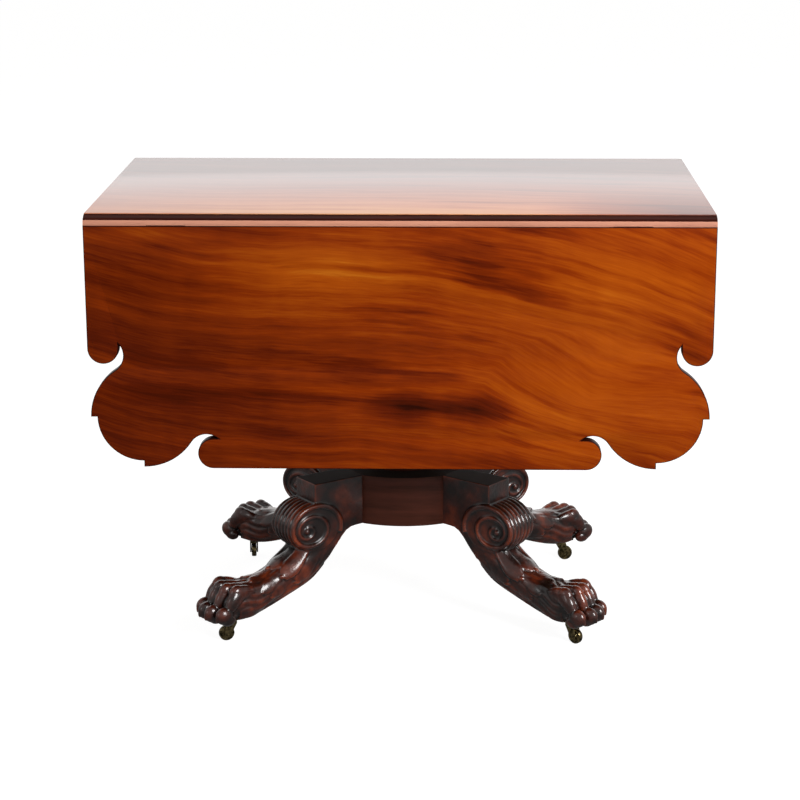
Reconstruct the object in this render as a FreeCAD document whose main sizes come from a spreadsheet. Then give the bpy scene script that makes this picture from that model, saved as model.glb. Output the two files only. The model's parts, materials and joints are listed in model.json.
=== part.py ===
import FreeCAD, Part
import math
import os
from collections import namedtuple
from types import SimpleNamespace
import Sketcher

# Drop-leaf breakfast table on a carved pillar base, in millimetres.
# X runs along the top, Y runs from the front leaf to the rear leaf and Z runs up from the floor.
# The origin is on the floor under the middle of the top. Both leaves hang and the drawer is shut.

# Driving dimensions

SIZES = {
    # Top, with a rule joint along both long sides
    "table_height": 730.0,
    "top_length": 978.0,
    "pin_spread": 560.0,
    "board_thick": 19.0,
    "pin_rise": 2.0,
    "joint_fillet": 2.5,
    "joint_gap": 0.4,
    # Leaf and the scrolled outline of its lower corners
    "leaf_drop": 390.0,
    "lobe_radius": 72.0,
    "lobe_step": 10.0,
    "sweep_inset": 2.0,
    "cut_radius": 29.0,
    "cut_centre_in": 27.0,
    "cut_centre_up": 184.0,
    "hook_radius": 24.5,
    "hook_centre_up": 194.5,
    # Rule-joint hinges
    "hinge_end_inset": 129.0,
    "hinge_length": 60.0,
    "hinge_plate_thick": 2.0,
    "top_plate_reach": 40.0,
    "leaf_plate_reach": 65.0,
    "barrel_radius": 3.0,
    "hinge_pin_radius": 1.5,
    "pin_clearance": 0.05,
    "hinge_room": 0.3,
    # Screws
    "screw_radius": 1.8,
    "hinge_screw_length": 12.0,
    "frame_screw_length": 40.0,
    "frame_screw_grip": 12.0,
    "bearer_screw_length": 45.0,
    "caster_screw_length": 14.0,
    # Frame under the top
    "frame_end_inset": 59.0,
    "frame_width": 436.0,
    "frame_depth": 95.0,
    "outer_rail_thick": 22.0,
    "inner_rail_thick": 20.0,
    "end_rail_thick": 22.0,
    "corner_block": 20.0,
    # Fly brackets that carry the raised leaves
    "fly_pin_station": 110.0,
    "fly_pin_radius": 2.5,
    "fly_gap": 0.4,
    "fly_end_gap": 2.0,
    "fly_grip_radius": 34.0,
    # Drawer and the rails round it
    "drawer_opening_inset": 26.0,
    "drawer_blade_thick": 14.0,
    "drawer_rail_thick": 12.0,
    "drawer_gap": 0.8,
    "drawer_slide_gap": 0.3,
    "drawer_depth": 420.0,
    "drawer_front_thick": 20.0,
    "drawer_side_thick": 10.0,
    "drawer_side_gap": 2.0,
    "drawer_bottom_thick": 6.0,
    "drawer_bottom_rise": 4.0,
    "drawer_groove": 5.0,
    "runner_width": 38.0,
    "runner_guide_height": 12.0,
    "sham_groove_width": 2.0,
    "sham_groove_depth": 1.5,
    # Turned knobs
    "knob_radius": 15.0,
    "knob_neck_radius": 7.0,
    "knob_foot_radius": 9.0,
    "knob_reach": 26.0,
    "knob_spigot_radius": 5.0,
    "knob_spigot_length": 14.0,
    # Bearer board and turned column
    "bearer_length": 260.0,
    "bearer_thick": 22.0,
    "column_foot_radius": 62.0,
    "column_waist_radius": 34.0,
    "column_urn_radius": 57.0,
    "column_neck_radius": 27.0,
    "column_collar_radius": 38.0,
    "column_cap_radius": 58.0,
    "column_tenon_radius": 24.0,
    "column_tenon_length": 55.0,
    # Platform with bowed faces between its four leg seats
    "platform_top": 249.0,
    "platform_thick": 85.0,
    "platform_reach": 106.0,
    "platform_bow_radius": 152.0,
    "dowel_radius": 6.0,
    "dowel_length": 50.0,
    # Carved leg, along its own plane from the table's middle
    "leg_angle": 36.5,
    "leg_width": 58.0,
    "block_end": 201.0,
    "knee_out": 134.0,
    "shank_width": 52.0,
    "shank_chamfer": 10.0,
    "belly_out": 391.0,
    "belly_up": 382.0,
    "belly_radius": 338.0,
    "instep_out": 330.0,
    "instep_up": 276.5,
    "instep_radius": 178.0,
    "volute_out": 206.0,
    "volute_up": 176.0,
    "volute_radius": 43.0,
    "volute_stand": 2.5,
    "volute_start_radius": 47.0,
    "volute_eye_shift": 13.0,
    "volute_groove_depth": 3.0,
    "volute_eye_radius": 6.0,
    # Paw
    "paw_width": 68.0,
    "paw_up": 99.0,
    "heel_out": 327.0,
    "paw_front": 384.0,
    "paw_front_radius": 42.0,
    "toe_width": 18.0,
    "toe_pitch": 19.0,
    "toe_chamfer": 4.0,
    "toe_root": 342.0,
    "toe_tip": 408.0,
    "toe_set_back": 8.0,
    "toe_tip_radius": 18.0,
    "toe_low": 38.0,
    "knuckle_out": 358.0,
    "knuckle_up": 80.0,
    "knuckle_radius": 25.0,
    # Casters
    "caster_height": 42.0,
    "caster_out": 350.0,
    "caster_plate_size": 34.0,
    "caster_plate_thick": 3.5,
    "stem_radius": 3.0,
    "stem_end_gap": 0.3,
    "crown_thick": 8.0,
    "crown_length": 15.0,
    "fork_gap": 0.3,
    "cheek_thick": 2.5,
    "cheek_foot": 9.0,
    "wheel_radius": 13.0,
    "wheel_width": 9.0,
    "wheel_trail": 9.0,
    "axle_radius": 1.6,
    # Overrun of every cutting tool past the wood that it cuts
    "overrun": 2.0,
}

# Counts, turns and shares

SIDES = {"front": -1, "rear": 1}
ENDS = {"left": -1, "right": 1}
KNUCKLE_FINGERS = 3
VOLUTE_TURNS = 1.25
VOLUTE_START_ANGLE = 180
BELLY_ANGLES = (-139.5, -101)
INSTEP_ANGLES = (-86, -130)
VOLUTE_TURN_SHARE = 0.34
VOLUTE_GROOVE_SHARE = 0.16
SCREW_FLAT_COUNT = 6
ROD_FLAT_COUNT = 8
KNUCKLE_FLAT_COUNT = 10
GRIP_FLAT_COUNT = 16
WHEEL_FLAT_COUNT = 20
COLUMN_FLAT_COUNT = 20
CURVE_FLAT_COUNT = 3
TOE_FLAT_COUNT = 8
BELLY_FLAT_COUNT = 6
INSTEP_FLAT_COUNT = 4
PAW_FLAT_COUNT = 3
VOLUTE_FLAT_COUNT = 9
TOE_PLACES = (-1.5, -0.5, 0.5, 1.5)
HINGE_PLACES = (-1, 1)
MIDDLE_KNUCKLE_SHARE = 0.42
PLATE_SCREW_SHARES = ((-0.32, 0.4), (0.32, 0.75))
DOWEL_RISE_SHARES = (0.3, 0.72)
FRAME_SCREW_SHARES = (-0.8, 0.0, 0.8)
BEARER_SCREW_SHARE = 0.7
CASTER_SCREW_SHARE = 0.32
KNOB_NECK_SHARE = 0.3
KNOB_RIM_SHARE = 0.72

# Column from foot to cap: radius, rise and how the profile gets there
COLUMN_SHARES = (
    ("column_foot_radius", 0.08, "straight"),
    ("column_waist_radius", 0.2, "out first"),
    ("column_urn_radius", 0.42, "out first"),
    ("column_neck_radius", 0.66, "up first"),
    ("column_collar_radius", 0.69, "straight"),
    ("column_neck_radius", 0.72, "straight"),
    ("column_cap_radius", 0.93, "up first"),
)

# Swivel of each caster as it happens to stand
CASTER_TURNS = {
    ("front", "left"): 200.0,
    ("front", "right"): 318.0,
    ("rear", "left"): 96.0,
    ("rear", "right"): 12.0,
}


# Document and its sheet of sizes

doc = FreeCAD.newDocument("drop_leaf_table")
sheet = doc.addObject("Spreadsheet::Sheet", "Sizes")
for row, (name, value) in enumerate(SIZES.items(), start=1):
    sheet.set(f"A{row}", name)
    sheet.set(f"B{row}", str(value))
    sheet.setAlias(f"B{row}", name)
doc.recompute()


# Values that keep their formula, so that a sum of sizes stays tied to the sheet

class Size:
    """A number with the formula that works it out from the sheet."""

    def __init__(self, value, formula):
        self.value = value
        self.formula = formula

    def __add__(self, other):
        other = sized(other)
        return Size(self.value + other.value, f"({self.formula} + {other.formula})")

    def __sub__(self, other):
        other = sized(other)
        return Size(self.value - other.value, f"({self.formula} - {other.formula})")

    def __mul__(self, other):
        other = sized(other)
        return Size(self.value * other.value, f"({self.formula} * {other.formula})")

    def __truediv__(self, other):
        other = sized(other)
        return Size(self.value / other.value, f"({self.formula} / {other.formula})")

    def __neg__(self):
        return Size(-self.value, f"(0 - {self.formula})")

    def __rmul__(self, other):
        return sized(other) * self

    def __radd__(self, other):
        return sized(other) + self

    def __rsub__(self, other):
        return sized(other) - self


def sized(value):
    """A plain number as a Size."""
    if isinstance(value, Size):
        return value
    return Size(value, f"({value!r})")


def cosine(angle):
    return Size(math.cos(math.radians(angle.value)), f"cos({angle.formula})")


def sine(angle):
    return Size(math.sin(math.radians(angle.value)), f"sin({angle.formula})")


def root(square):
    return Size(math.sqrt(square.value), f"sqrt({square.formula})")


S = SimpleNamespace(**{name: Size(sheet.get(name), f"Sizes.{name}") for name in SIZES})


# Places that several pieces share

top_under = S.table_height - S.board_thick
pin_z = top_under + S.pin_rise
pin_y = S.pin_spread / 2
ovolo_radius = S.board_thick - S.pin_rise - S.joint_fillet
cove_radius = ovolo_radius + S.joint_gap
plate_top = top_under + S.hinge_plate_thick
leaf_inner = pin_y - S.pin_rise
leaf_outer = leaf_inner + S.board_thick
frame_low = top_under - S.frame_depth
frame_half = S.top_length / 2 - S.frame_end_inset
inside_half = frame_half - S.end_rail_thick
rail_outer = S.frame_width / 2
rail_joint = rail_outer - S.outer_rail_thick
rail_inner = rail_joint - S.inner_rail_thick
fly_axis_y = rail_outer - S.outer_rail_thick / 2
bearer_low = frame_low - S.bearer_thick
platform_low = S.platform_top - S.platform_thick
sole_z = S.caster_height
volute_eye_out = S.volute_out + S.volute_eye_shift
opening_half = rail_inner - S.drawer_opening_inset
drawer_opening = 2 * opening_half
opening_low = frame_low + S.drawer_blade_thick
opening_high = top_under - S.drawer_rail_thick


# Outlines

Step = namedtuple("Step", "x y radius turn")


def go(x, y):
    """A straight edge to a point of the outline."""
    return Step(sized(x), sized(y), None, 0)


def bend(x, y, radius, turn):
    """A round edge to a point: turn is 1 for an arc that turns left and -1 for one that turns right."""
    return Step(sized(x), sized(y), sized(radius), turn)


def mirrored(steps):
    """The same run of edges on the other side of the upright axis, walked back."""
    back = [go(-steps[-1].x, steps[-1].y)]
    for here, after in zip(steps[-2::-1], steps[:0:-1]):
        back.append(Step(-here.x, here.y, after.radius, after.turn))
    return back


def arc_centre(start, end, radius, turn):
    """Centre of the short arc between two points."""
    half = (end - start) / 2
    rise = math.sqrt(radius ** 2 - half.Length ** 2)
    left = FreeCAD.Vector(-half.y, half.x, 0).normalize()
    return start + half + left * (rise * turn)


def edge_geometry(start, end, step):
    """The sketch edge to a step, and whether it runs from its first point to its second."""
    if not step.turn:
        return Part.LineSegment(start, end), True
    centre = arc_centre(start, end, step.radius.value, step.turn)
    circle = Part.Circle(centre, FreeCAD.Vector(0, 0, 1), step.radius.value)
    angles = [math.atan2(point.y - centre.y, point.x - centre.x) for point in (start, end)]
    forward = step.turn > 0
    if not forward:
        angles.reverse()
    return Part.ArcOfCircle(circle, *angles), forward


def bind(item, path, size):
    item.setExpression(path, sized(size).formula)


def fill_sketch(sketch, steps):
    """Draw a closed outline whose every corner and radius is tied to the sheet."""
    corners = [FreeCAD.Vector(step.x.value, step.y.value, 0) for step in steps]
    ends = []
    for number, step in enumerate(steps):
        edge, forward = edge_geometry(corners[number - 1], corners[number], step)
        index = sketch.addGeometry(edge)
        ends.append((index, 1, 2) if forward else (index, 2, 1))
        if step.turn:
            limit = sketch.addConstraint(Sketcher.Constraint("Radius", index, step.radius.value))
            bind(sketch, f"Constraints[{limit}]", step.radius)
    for number, step in enumerate(steps):
        index, _, last = ends[number]
        after, first, _ = ends[(number + 1) % len(steps)]
        sketch.addConstraint(Sketcher.Constraint("Coincident", index, last, after, first))
        for kind, size in (("DistanceX", step.x), ("DistanceY", step.y)):
            limit = sketch.addConstraint(Sketcher.Constraint(kind, index, last, size.value))
            bind(sketch, f"Constraints[{limit}]", size)


# Ways of making a piece

def body_with_sketch(plane, steps):
    """A body with one sketch on one of its own origin planes."""
    body = doc.addObject("PartDesign::Body", "Body")
    support = [item for item in body.Origin.OriginFeatures if item.Role == f"{plane}_Plane"][0]
    sketch = body.newObject("Sketcher::SketchObject", "Sketch")
    sketch.AttachmentSupport = (support, [""])
    sketch.MapMode = "FlatFace"
    fill_sketch(sketch, steps)
    return body, sketch


def prism(plane, steps, low, high):
    """An outline on the XY, YZ or XZ plane, padded between two stations across that plane."""
    body, sketch = body_with_sketch(plane, steps)
    start = -sized(high) if plane == "XZ" else sized(low)
    bind(sketch, "AttachmentOffset.Base.z", start)
    pad = body.newObject("PartDesign::Pad", "Pad")
    pad.Profile = sketch
    bind(pad, "Length", high - low)
    doc.recompute()
    return body


def flat_face(corners):
    return Part.Face(Part.makePolygon(corners + corners[:1]))


def turned(flats, profile):
    """A turned piece about the upright axis, as true flats between a ring at each radius and rise."""
    rings = []
    for radius, rise in profile:
        turns = [math.tau * flat / flats for flat in range(flats)]
        radius, rise = radius.value, sized(rise).value
        ring = [FreeCAD.Vector(radius * math.cos(turn), radius * math.sin(turn), rise) for turn in turns]
        rings.append(ring)
    faces = [flat_face(rings[0]), flat_face(rings[-1])]
    for low, high in zip(rings, rings[1:]):
        for flat in range(flats):
            faces.append(flat_face([low[flat - 1], low[flat], high[flat], high[flat - 1]]))
    item = doc.addObject("Part::Feature", "Turning")
    item.Shape = Part.makeSolid(Part.makeShell(faces))
    return item


def round_flats(centre, radius, start, end, count):
    """Corners along a round stretch about a centre, from one angle to another in degrees."""
    corners = []
    for number in range(count + 1):
        angle = sized(start + (end - start) * number / count)
        corners.append(go(centre[0] + radius * cosine(angle), centre[1] + radius * sine(angle)))
    return corners


def chamfer_short_edges(body, longest, size):
    """Chamfer the flats of the round stretches along both flat sides of a padded body."""
    pad = body.Tip
    names = []
    for number, edge in enumerate(pad.Shape.Edges, start=1):
        flat = edge.BoundBox.YLength < edge.Length / 1000
        if flat and edge.Length < longest.value:
            names.append(f"Edge{number}")
    chamfer = body.newObject("PartDesign::Chamfer", "Chamfer")
    chamfer.Base = (pad, names)
    bind(chamfer, "Size", size)
    return body


def lesser(pair):
    return min(pair, key=lambda size: size.value)


def greater(pair):
    return max(pair, key=lambda size: size.value)


def box(x, y, z):
    """A block between two stations along each axis, in either order."""
    item = doc.addObject("Part::Box", "Box")
    for axis, side, pair in zip("xyz", ("Length", "Width", "Height"), (x, y, z)):
        pair = [sized(size) for size in pair]
        bind(item, side, greater(pair) - lesser(pair))
        bind(item, f"Placement.Base.{axis}", lesser(pair))
    return item


AXIS_TURNS = {
    "X": FreeCAD.Rotation(FreeCAD.Vector(0, 1, 0), 90),
    "Y": FreeCAD.Rotation(FreeCAD.Vector(1, 0, 0), -90),
    "Z": FreeCAD.Rotation(),
}


def laid_along(item, axis, centre, stations):
    """Lay a round piece along an axis: centre gives its place across the other two axes, in order."""
    stations = [sized(size) for size in stations]
    low = lesser(stations)
    bind(item, "Height", greater(stations) - low)
    item.Placement = FreeCAD.Placement(FreeCAD.Vector(), AXIS_TURNS[axis])
    place = list(centre)
    place.insert("XYZ".index(axis), low)
    for letter, size in zip("xyz", place):
        bind(item, f"Placement.Base.{letter}", size)
    return item


def cylinder(axis, centre, radius, *stations):
    item = doc.addObject("Part::Cylinder", "Cylinder")
    bind(item, "Radius", radius)
    return laid_along(item, axis, centre, stations)


def rod(flats, axis, centre, radius, *stations):
    """A small round piece, given a few flats instead of a true round."""
    item = doc.addObject("Part::Prism", "Rod")
    item.Polygon = flats
    bind(item, "Circumradius", radius)
    return laid_along(item, axis, centre, stations)


def screw(axis, centre, *stations):
    return rod(SCREW_FLAT_COUNT, axis, centre, S.screw_radius, *stations)


def snug_bore(axis, centre, radius, *stations):
    """Hole of many flats in which a rod of that radius turns: its flats lie a clearance off the rod."""
    across_flats = (radius + S.pin_clearance) / cosine(sized(180 / KNUCKLE_FLAT_COUNT))
    return rod(KNUCKLE_FLAT_COUNT, axis, centre, across_flats, *stations)


def fuse(*items):
    item = doc.addObject("Part::MultiFuse", "Fuse")
    item.Shapes = list(items)
    item.Refine = True
    return item


def together(*items):
    """Separate solids held as one group."""
    item = doc.addObject("Part::Compound", "Group")
    item.Links = list(items)
    return item


def cut(base, *tools):
    item = doc.addObject("Part::Cut", "Cut")
    item.Base = base
    item.Tool = tools[0] if len(tools) == 1 else together(*tools)
    item.Refine = True
    return item


def placed(source, angle, out=0, turn=None):
    """A copy of a piece, turned about the upright axis and moved out along the leg at that angle."""
    item = together(source)
    item.Placement = FreeCAD.Placement(FreeCAD.Vector(), FreeCAD.Rotation(FreeCAD.Vector(0, 0, 1), 0))
    bind(item, "Placement.Rotation.Angle", angle if turn is None else turn)
    bind(item, "Placement.Base.x", out * cosine(angle))
    bind(item, "Placement.Base.y", out * sine(angle))
    return item


nodes = []


def node(name, item):
    """Name a finished piece: the label is the name of its file."""
    item.Label = name
    nodes.append(item)
    return item


def along(middle, length):
    """Two stations, the same way each side of a middle."""
    return middle - length / 2, middle + length / 2


def across(side, *stations):
    """Stations across the table on the front or the rear side."""
    return [side * sized(station) for station in stations]


# Leaf outline

def corner_steps():
    """One lower corner of a leaf, from its side edge to its bottom edge, the same about its diagonal."""
    lobe_corner = S.sweep_inset + S.lobe_step + S.lobe_radius
    tip_in = 2 * S.hook_radius
    tip_side = tip_in - S.cut_centre_in
    tip_up = S.cut_centre_up + root(S.cut_radius * S.cut_radius - tip_side * tip_side)
    run_in = S.sweep_inset - S.cut_centre_in
    run_up = S.cut_centre_up - lobe_corner
    sweep_square = run_in * run_in + run_up * run_up - S.cut_radius * S.cut_radius
    sweep_radius = sweep_square / (2 * (S.cut_radius - run_in))
    share = sweep_radius / (sweep_radius + S.cut_radius)
    meet_in = S.sweep_inset + sweep_radius + (S.cut_centre_in - S.sweep_inset - sweep_radius) * share
    meet_up = lobe_corner + run_up * share
    lobe_side = S.sweep_inset + S.lobe_step
    hook_low = S.hook_centre_up - S.hook_radius
    return [
        go(0, S.hook_centre_up),
        bend(S.hook_radius, hook_low, S.hook_radius, 1),
        bend(tip_in, S.hook_centre_up, S.hook_radius, 1),
        go(tip_in, tip_up),
        bend(meet_in, meet_up, S.cut_radius, -1),
        bend(S.sweep_inset, lobe_corner, sweep_radius, 1),
        go(lobe_side, lobe_corner),
        bend(lobe_corner, lobe_side, S.lobe_radius, 1),
        go(lobe_corner, S.sweep_inset),
        bend(meet_up, meet_in, sweep_radius, 1),
        bend(tip_up, tip_in, S.cut_radius, -1),
        go(S.hook_centre_up, tip_in),
        bend(hook_low, S.hook_radius, S.hook_radius, 1),
        bend(S.hook_centre_up, 0, S.hook_radius, 1),
    ]


def leaf_outline():
    """Leaf seen from its face, hanging: the top edge lies just under the pin line."""
    half = S.top_length / 2
    bottom = pin_z - S.leaf_drop
    left = [go(-half, pin_z - S.joint_gap)]
    for step in corner_steps():
        left.append(Step(step.x - half, step.y + bottom, step.radius, step.turn))
    return left + mirrored(left)


# Hinges

hinge_stations = [place * (S.top_length / 2 - S.hinge_end_inset) for place in HINGE_PLACES]
middle_knuckle = S.hinge_length * MIDDLE_KNUCKLE_SHARE
barrel_clear = S.barrel_radius + S.hinge_room


def hinge_recess(side, station):
    """Bed of the top plate, groove of the barrel and room for the leaf plate under the ovolo."""
    wide = along(station, S.hinge_length + 2 * S.hinge_room)
    deep = (top_under - S.overrun, plate_top)
    bed = box(along(station, S.hinge_length), across(side, pin_y - S.top_plate_reach, pin_y), deep)
    groove = rod(KNUCKLE_FLAT_COUNT, "X", (side * pin_y, pin_z), barrel_clear, *wide)
    room_y = across(side, pin_y - barrel_clear, pin_y + ovolo_radius + S.overrun)
    room = box(wide, room_y, (top_under - S.overrun, plate_top + S.hinge_room))
    return fuse(bed, groove, room)


def top_plate(side, station):
    """Plate under the top, with the two outer knuckles, which grip the pin."""
    deep = (top_under, plate_top)
    flat_y = across(side, pin_y - S.top_plate_reach, pin_y - barrel_clear)
    pieces = [box(along(station, S.hinge_length), flat_y, deep)]
    for end in ENDS.values():
        knuckle = (
            station + end * (middle_knuckle / 2 + S.hinge_room),
            station + end * S.hinge_length / 2,
        )
        pieces.append(box(knuckle, across(side, pin_y - barrel_clear, pin_y), deep))
        pieces.append(rod(KNUCKLE_FLAT_COUNT, "X", (side * pin_y, pin_z), S.barrel_radius, *knuckle))
    return fuse(*pieces)


def leaf_plate(side, station):
    """Plate let into the leaf, with the middle knuckle, which turns on the pin."""
    thick = across(side, leaf_inner, leaf_inner + S.hinge_plate_thick)
    line = (side * pin_y, pin_z)
    middle = along(station, middle_knuckle)
    flat = box(along(station, S.hinge_length), thick, (pin_z - S.leaf_plate_reach, pin_z - barrel_clear))
    neck = box(middle, thick, (pin_z - barrel_clear, pin_z))
    knuckle = rod(KNUCKLE_FLAT_COUNT, "X", line, S.barrel_radius, *middle)
    bore_radius = S.hinge_pin_radius + S.pin_clearance
    bore = cylinder("X", line, bore_radius, *along(station, middle_knuckle + S.overrun))
    return cut(fuse(flat, neck, knuckle), bore)


def top_plate_screws(side, station):
    """Screws up through the top plate into the centre board."""
    return [
        screw(
            "Z",
            (station + S.hinge_length * shift, side * (pin_y - S.top_plate_reach * reach)),
            top_under,
            top_under + S.hinge_screw_length,
        )
        for shift, reach in PLATE_SCREW_SHARES
    ]


def leaf_plate_screws(side, station):
    """Screws through the leaf plate into the leaf."""
    return [
        screw(
            "Y",
            (station + S.hinge_length * shift, pin_z - S.leaf_plate_reach * reach),
            *across(side, leaf_inner, leaf_inner + S.hinge_screw_length),
        )
        for shift, reach in PLATE_SCREW_SHARES
    ]


def hinge_pin(side, station):
    stations = along(station, S.hinge_length)
    return rod(ROD_FLAT_COUNT, "X", (side * pin_y, pin_z), S.hinge_pin_radius, *stations)


# Top and leaves

def centre_board():
    """Board whose long edges carry a fillet and an ovolo struck from the pin line."""
    right = [
        go(pin_y + ovolo_radius, top_under),
        go(pin_y + ovolo_radius, pin_z),
        bend(pin_y, pin_z + ovolo_radius, ovolo_radius, 1),
        go(pin_y, S.table_height),
    ]
    return prism("YZ", right + mirrored(right), -S.top_length / 2, S.top_length / 2)


def leaf_board(side):
    """Leaf board with the cove that rolls round the ovolo."""
    faces = across(side, leaf_inner, leaf_outer)
    board = prism("XZ", leaf_outline(), lesser(faces), greater(faces))
    cove = cylinder("X", (side * pin_y, pin_z), cove_radius, *along(0, S.top_length + 2 * S.overrun))
    recesses = [
        box(
            along(station, S.hinge_length),
            across(side, leaf_inner - S.overrun, leaf_inner + S.hinge_plate_thick),
            (pin_z - S.leaf_plate_reach, pin_z),
        )
        for station in hinge_stations
    ]
    return cut(board, fuse(cove, *recesses))


def make_top_and_leaves(frame_screws):
    """Top, leaves and the hinges that join them."""
    recesses = []
    top_screws = []
    for side_name, side in SIDES.items():
        plates = [top_plate(side, station) for station in hinge_stations]
        flaps = [leaf_plate(side, station) for station in hinge_stations]
        pins = [hinge_pin(side, station) for station in hinge_stations]
        into_top = [item for station in hinge_stations for item in top_plate_screws(side, station)]
        into_leaf = [item for station in hinge_stations for item in leaf_plate_screws(side, station)]
        leaf_screws = node(f"{side_name}_leaf_screws", together(*into_leaf))
        side_pins = node(f"{side_name}_hinge_pins", together(*pins))
        node(f"{side_name}_hinge_top_plates", cut(together(*plates), side_pins, *into_top))
        node(f"{side_name}_hinge_leaf_plates", cut(together(*flaps), leaf_screws))
        node(f"{side_name}_leaf", cut(leaf_board(side), leaf_screws))
        recesses += [hinge_recess(side, station) for station in hinge_stations]
        top_screws += into_top
    hinge_screws = node("hinge_screws", together(*top_screws))
    node("center_top", cut(centre_board(), fuse(*recesses), hinge_screws, frame_screws))


# Frame

def frame_screw_group():
    """Screws up through the inner rails into the top."""
    screws = []
    for side in SIDES.values():
        for share in FRAME_SCREW_SHARES:
            place = (inside_half * share, side * (rail_inner + S.inner_rail_thick / 2))
            high = top_under + S.frame_screw_grip
            screws.append(screw("Z", place, high - S.frame_screw_length, high))
    return together(*screws)


def bearer_screw_group():
    """Screws up through the bearer board into the inner rails."""
    screws = []
    for side in SIDES.values():
        for end in ENDS.values():
            place = (
                end * S.bearer_length / 2 * BEARER_SCREW_SHARE,
                side * (rail_inner + S.inner_rail_thick / 2),
            )
            screws.append(screw("Z", place, bearer_low, bearer_low + S.bearer_screw_length))
    return together(*screws)


def finger_zone(number):
    """Height of one finger of the wooden knuckle joint."""
    finger = S.frame_depth / KNUCKLE_FINGERS
    return frame_low + finger * number, frame_low + finger * (number + 1)


def finger_cuts(place, side, fingers):
    """Room round the axis for the other half's fingers, widened by the fly's gap."""
    reach = S.outer_rail_thick / 2 + S.fly_gap
    tools = []
    for number in fingers:
        low, high = finger_zone(number)
        tools.append(
            box(
                (place - reach, place + reach),
                across(side, fly_axis_y - reach, fly_axis_y + reach),
                (low - S.fly_gap / 2, high + S.fly_gap / 2),
            )
        )
    return tools


knuckle_round = S.outer_rail_thick / 2 - S.fly_gap
fixed_fingers = range(0, KNUCKLE_FINGERS, 2)
fly_fingers = range(1, KNUCKLE_FINGERS, 2)


def fly_pin(side, end):
    place = (end * S.fly_pin_station, side * fly_axis_y)
    return rod(ROD_FLAT_COUNT, "Z", place, S.fly_pin_radius, frame_low, top_under)


def hinge_rail(side):
    """Fixed middle of the outer rail, glued to the inner rail, with a knuckle at both ends."""
    whole = (frame_low, top_under)
    bar = box(along(0, 2 * S.fly_pin_station), across(side, rail_joint, rail_outer), whole)
    pieces = [bar]
    tools = []
    for end in ENDS.values():
        place = end * S.fly_pin_station
        pieces.append(rod(KNUCKLE_FLAT_COUNT, "Z", (place, side * fly_axis_y), knuckle_round, *whole))
        tools += finger_cuts(place, side, fly_fingers) + [fly_pin(side, end)]
    return cut(fuse(*pieces), fuse(*tools))


def fly_bracket(side, end):
    """Bracket on an upright pin, with a scooped finger grip under its tip."""
    place = end * S.fly_pin_station
    tip = end * (inside_half - S.fly_end_gap)
    whole = (frame_low + S.fly_gap, top_under - S.fly_gap)
    bar = box((place, tip), across(side, rail_joint + S.fly_gap, rail_outer), whole)
    knuckle = rod(KNUCKLE_FLAT_COUNT, "Z", (place, side * fly_axis_y), knuckle_round, *whole)
    grip_y = across(side, rail_joint - S.overrun, rail_outer + S.overrun)
    grip = rod(GRIP_FLAT_COUNT, "Y", (tip, frame_low + S.fly_gap), S.fly_grip_radius, *grip_y)
    bore = cylinder("Z", (place, side * fly_axis_y), S.fly_pin_radius + S.pin_clearance, *whole)
    return cut(fuse(bar, knuckle), fuse(grip, bore, *finger_cuts(place, side, fixed_fingers)))


def make_rails(frame_screws, bearer_screws):
    """Inner rails, fixed hinge rails and the fly brackets on their pins."""
    for side_name, side in SIDES.items():
        rail = box((-inside_half, inside_half), across(side, rail_inner, rail_joint), (frame_low, top_under))
        node(f"{side_name}_inner_rail", cut(rail, frame_screws, bearer_screws))
        node(f"{side_name}_hinge_rail", hinge_rail(side))
        for end_name, end in ENDS.items():
            node(f"{side_name}_{end_name}_fly_bracket", fly_bracket(side, end))
    pins = [fly_pin(side, end) for side in SIDES.values() for end in ENDS.values()]
    node("fly_pins", together(*pins))


def make_corner_blocks():
    """Glue blocks in the frame's corners: those at the drawer stand between runner and kicker."""
    heights = {-1: (frame_low, top_under), 1: (opening_low + S.runner_guide_height, opening_high)}
    blocks = [
        box(
            (end * inside_half, end * (inside_half - S.corner_block)),
            across(side, rail_inner, rail_inner - S.corner_block),
            heights[end],
        )
        for side in SIDES.values()
        for end in ENDS.values()
    ]
    node("corner_blocks", together(*blocks))


# Drawer and sham drawer

knob_z = (opening_low + opening_high) / 2
front_low = opening_low + S.drawer_slide_gap
front_high = opening_high - S.drawer_gap
drawer_half = opening_half - S.drawer_side_gap
drawer_back_x = frame_half - S.drawer_depth
front_back_x = frame_half - S.drawer_front_thick
bottom_low = front_low + S.drawer_bottom_rise
bottom_high = bottom_low + S.drawer_bottom_thick


def knob(end):
    """Turned knob with a spigot, standing out from one end of the frame."""
    profile = [
        (S.knob_foot_radius, 0),
        (S.knob_neck_radius, S.knob_reach * KNOB_NECK_SHARE),
        (S.knob_radius, S.knob_reach * KNOB_RIM_SHARE),
        (S.knob_foot_radius, S.knob_reach),
    ]
    head = turned(WHEEL_FLAT_COUNT, profile)
    ends = (-S.knob_spigot_length, S.knob_foot_radius)
    spigot = rod(ROD_FLAT_COUNT, "Z", (0, 0), S.knob_spigot_radius, *ends)
    item = together(fuse(head, spigot))
    outwards = FreeCAD.Rotation(FreeCAD.Vector(0, 1, 0), 90 * end)
    item.Placement = FreeCAD.Placement(FreeCAD.Vector(), outwards)
    bind(item, "Placement.Base.x", end * frame_half)
    bind(item, "Placement.Base.z", knob_z)
    return item


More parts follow.
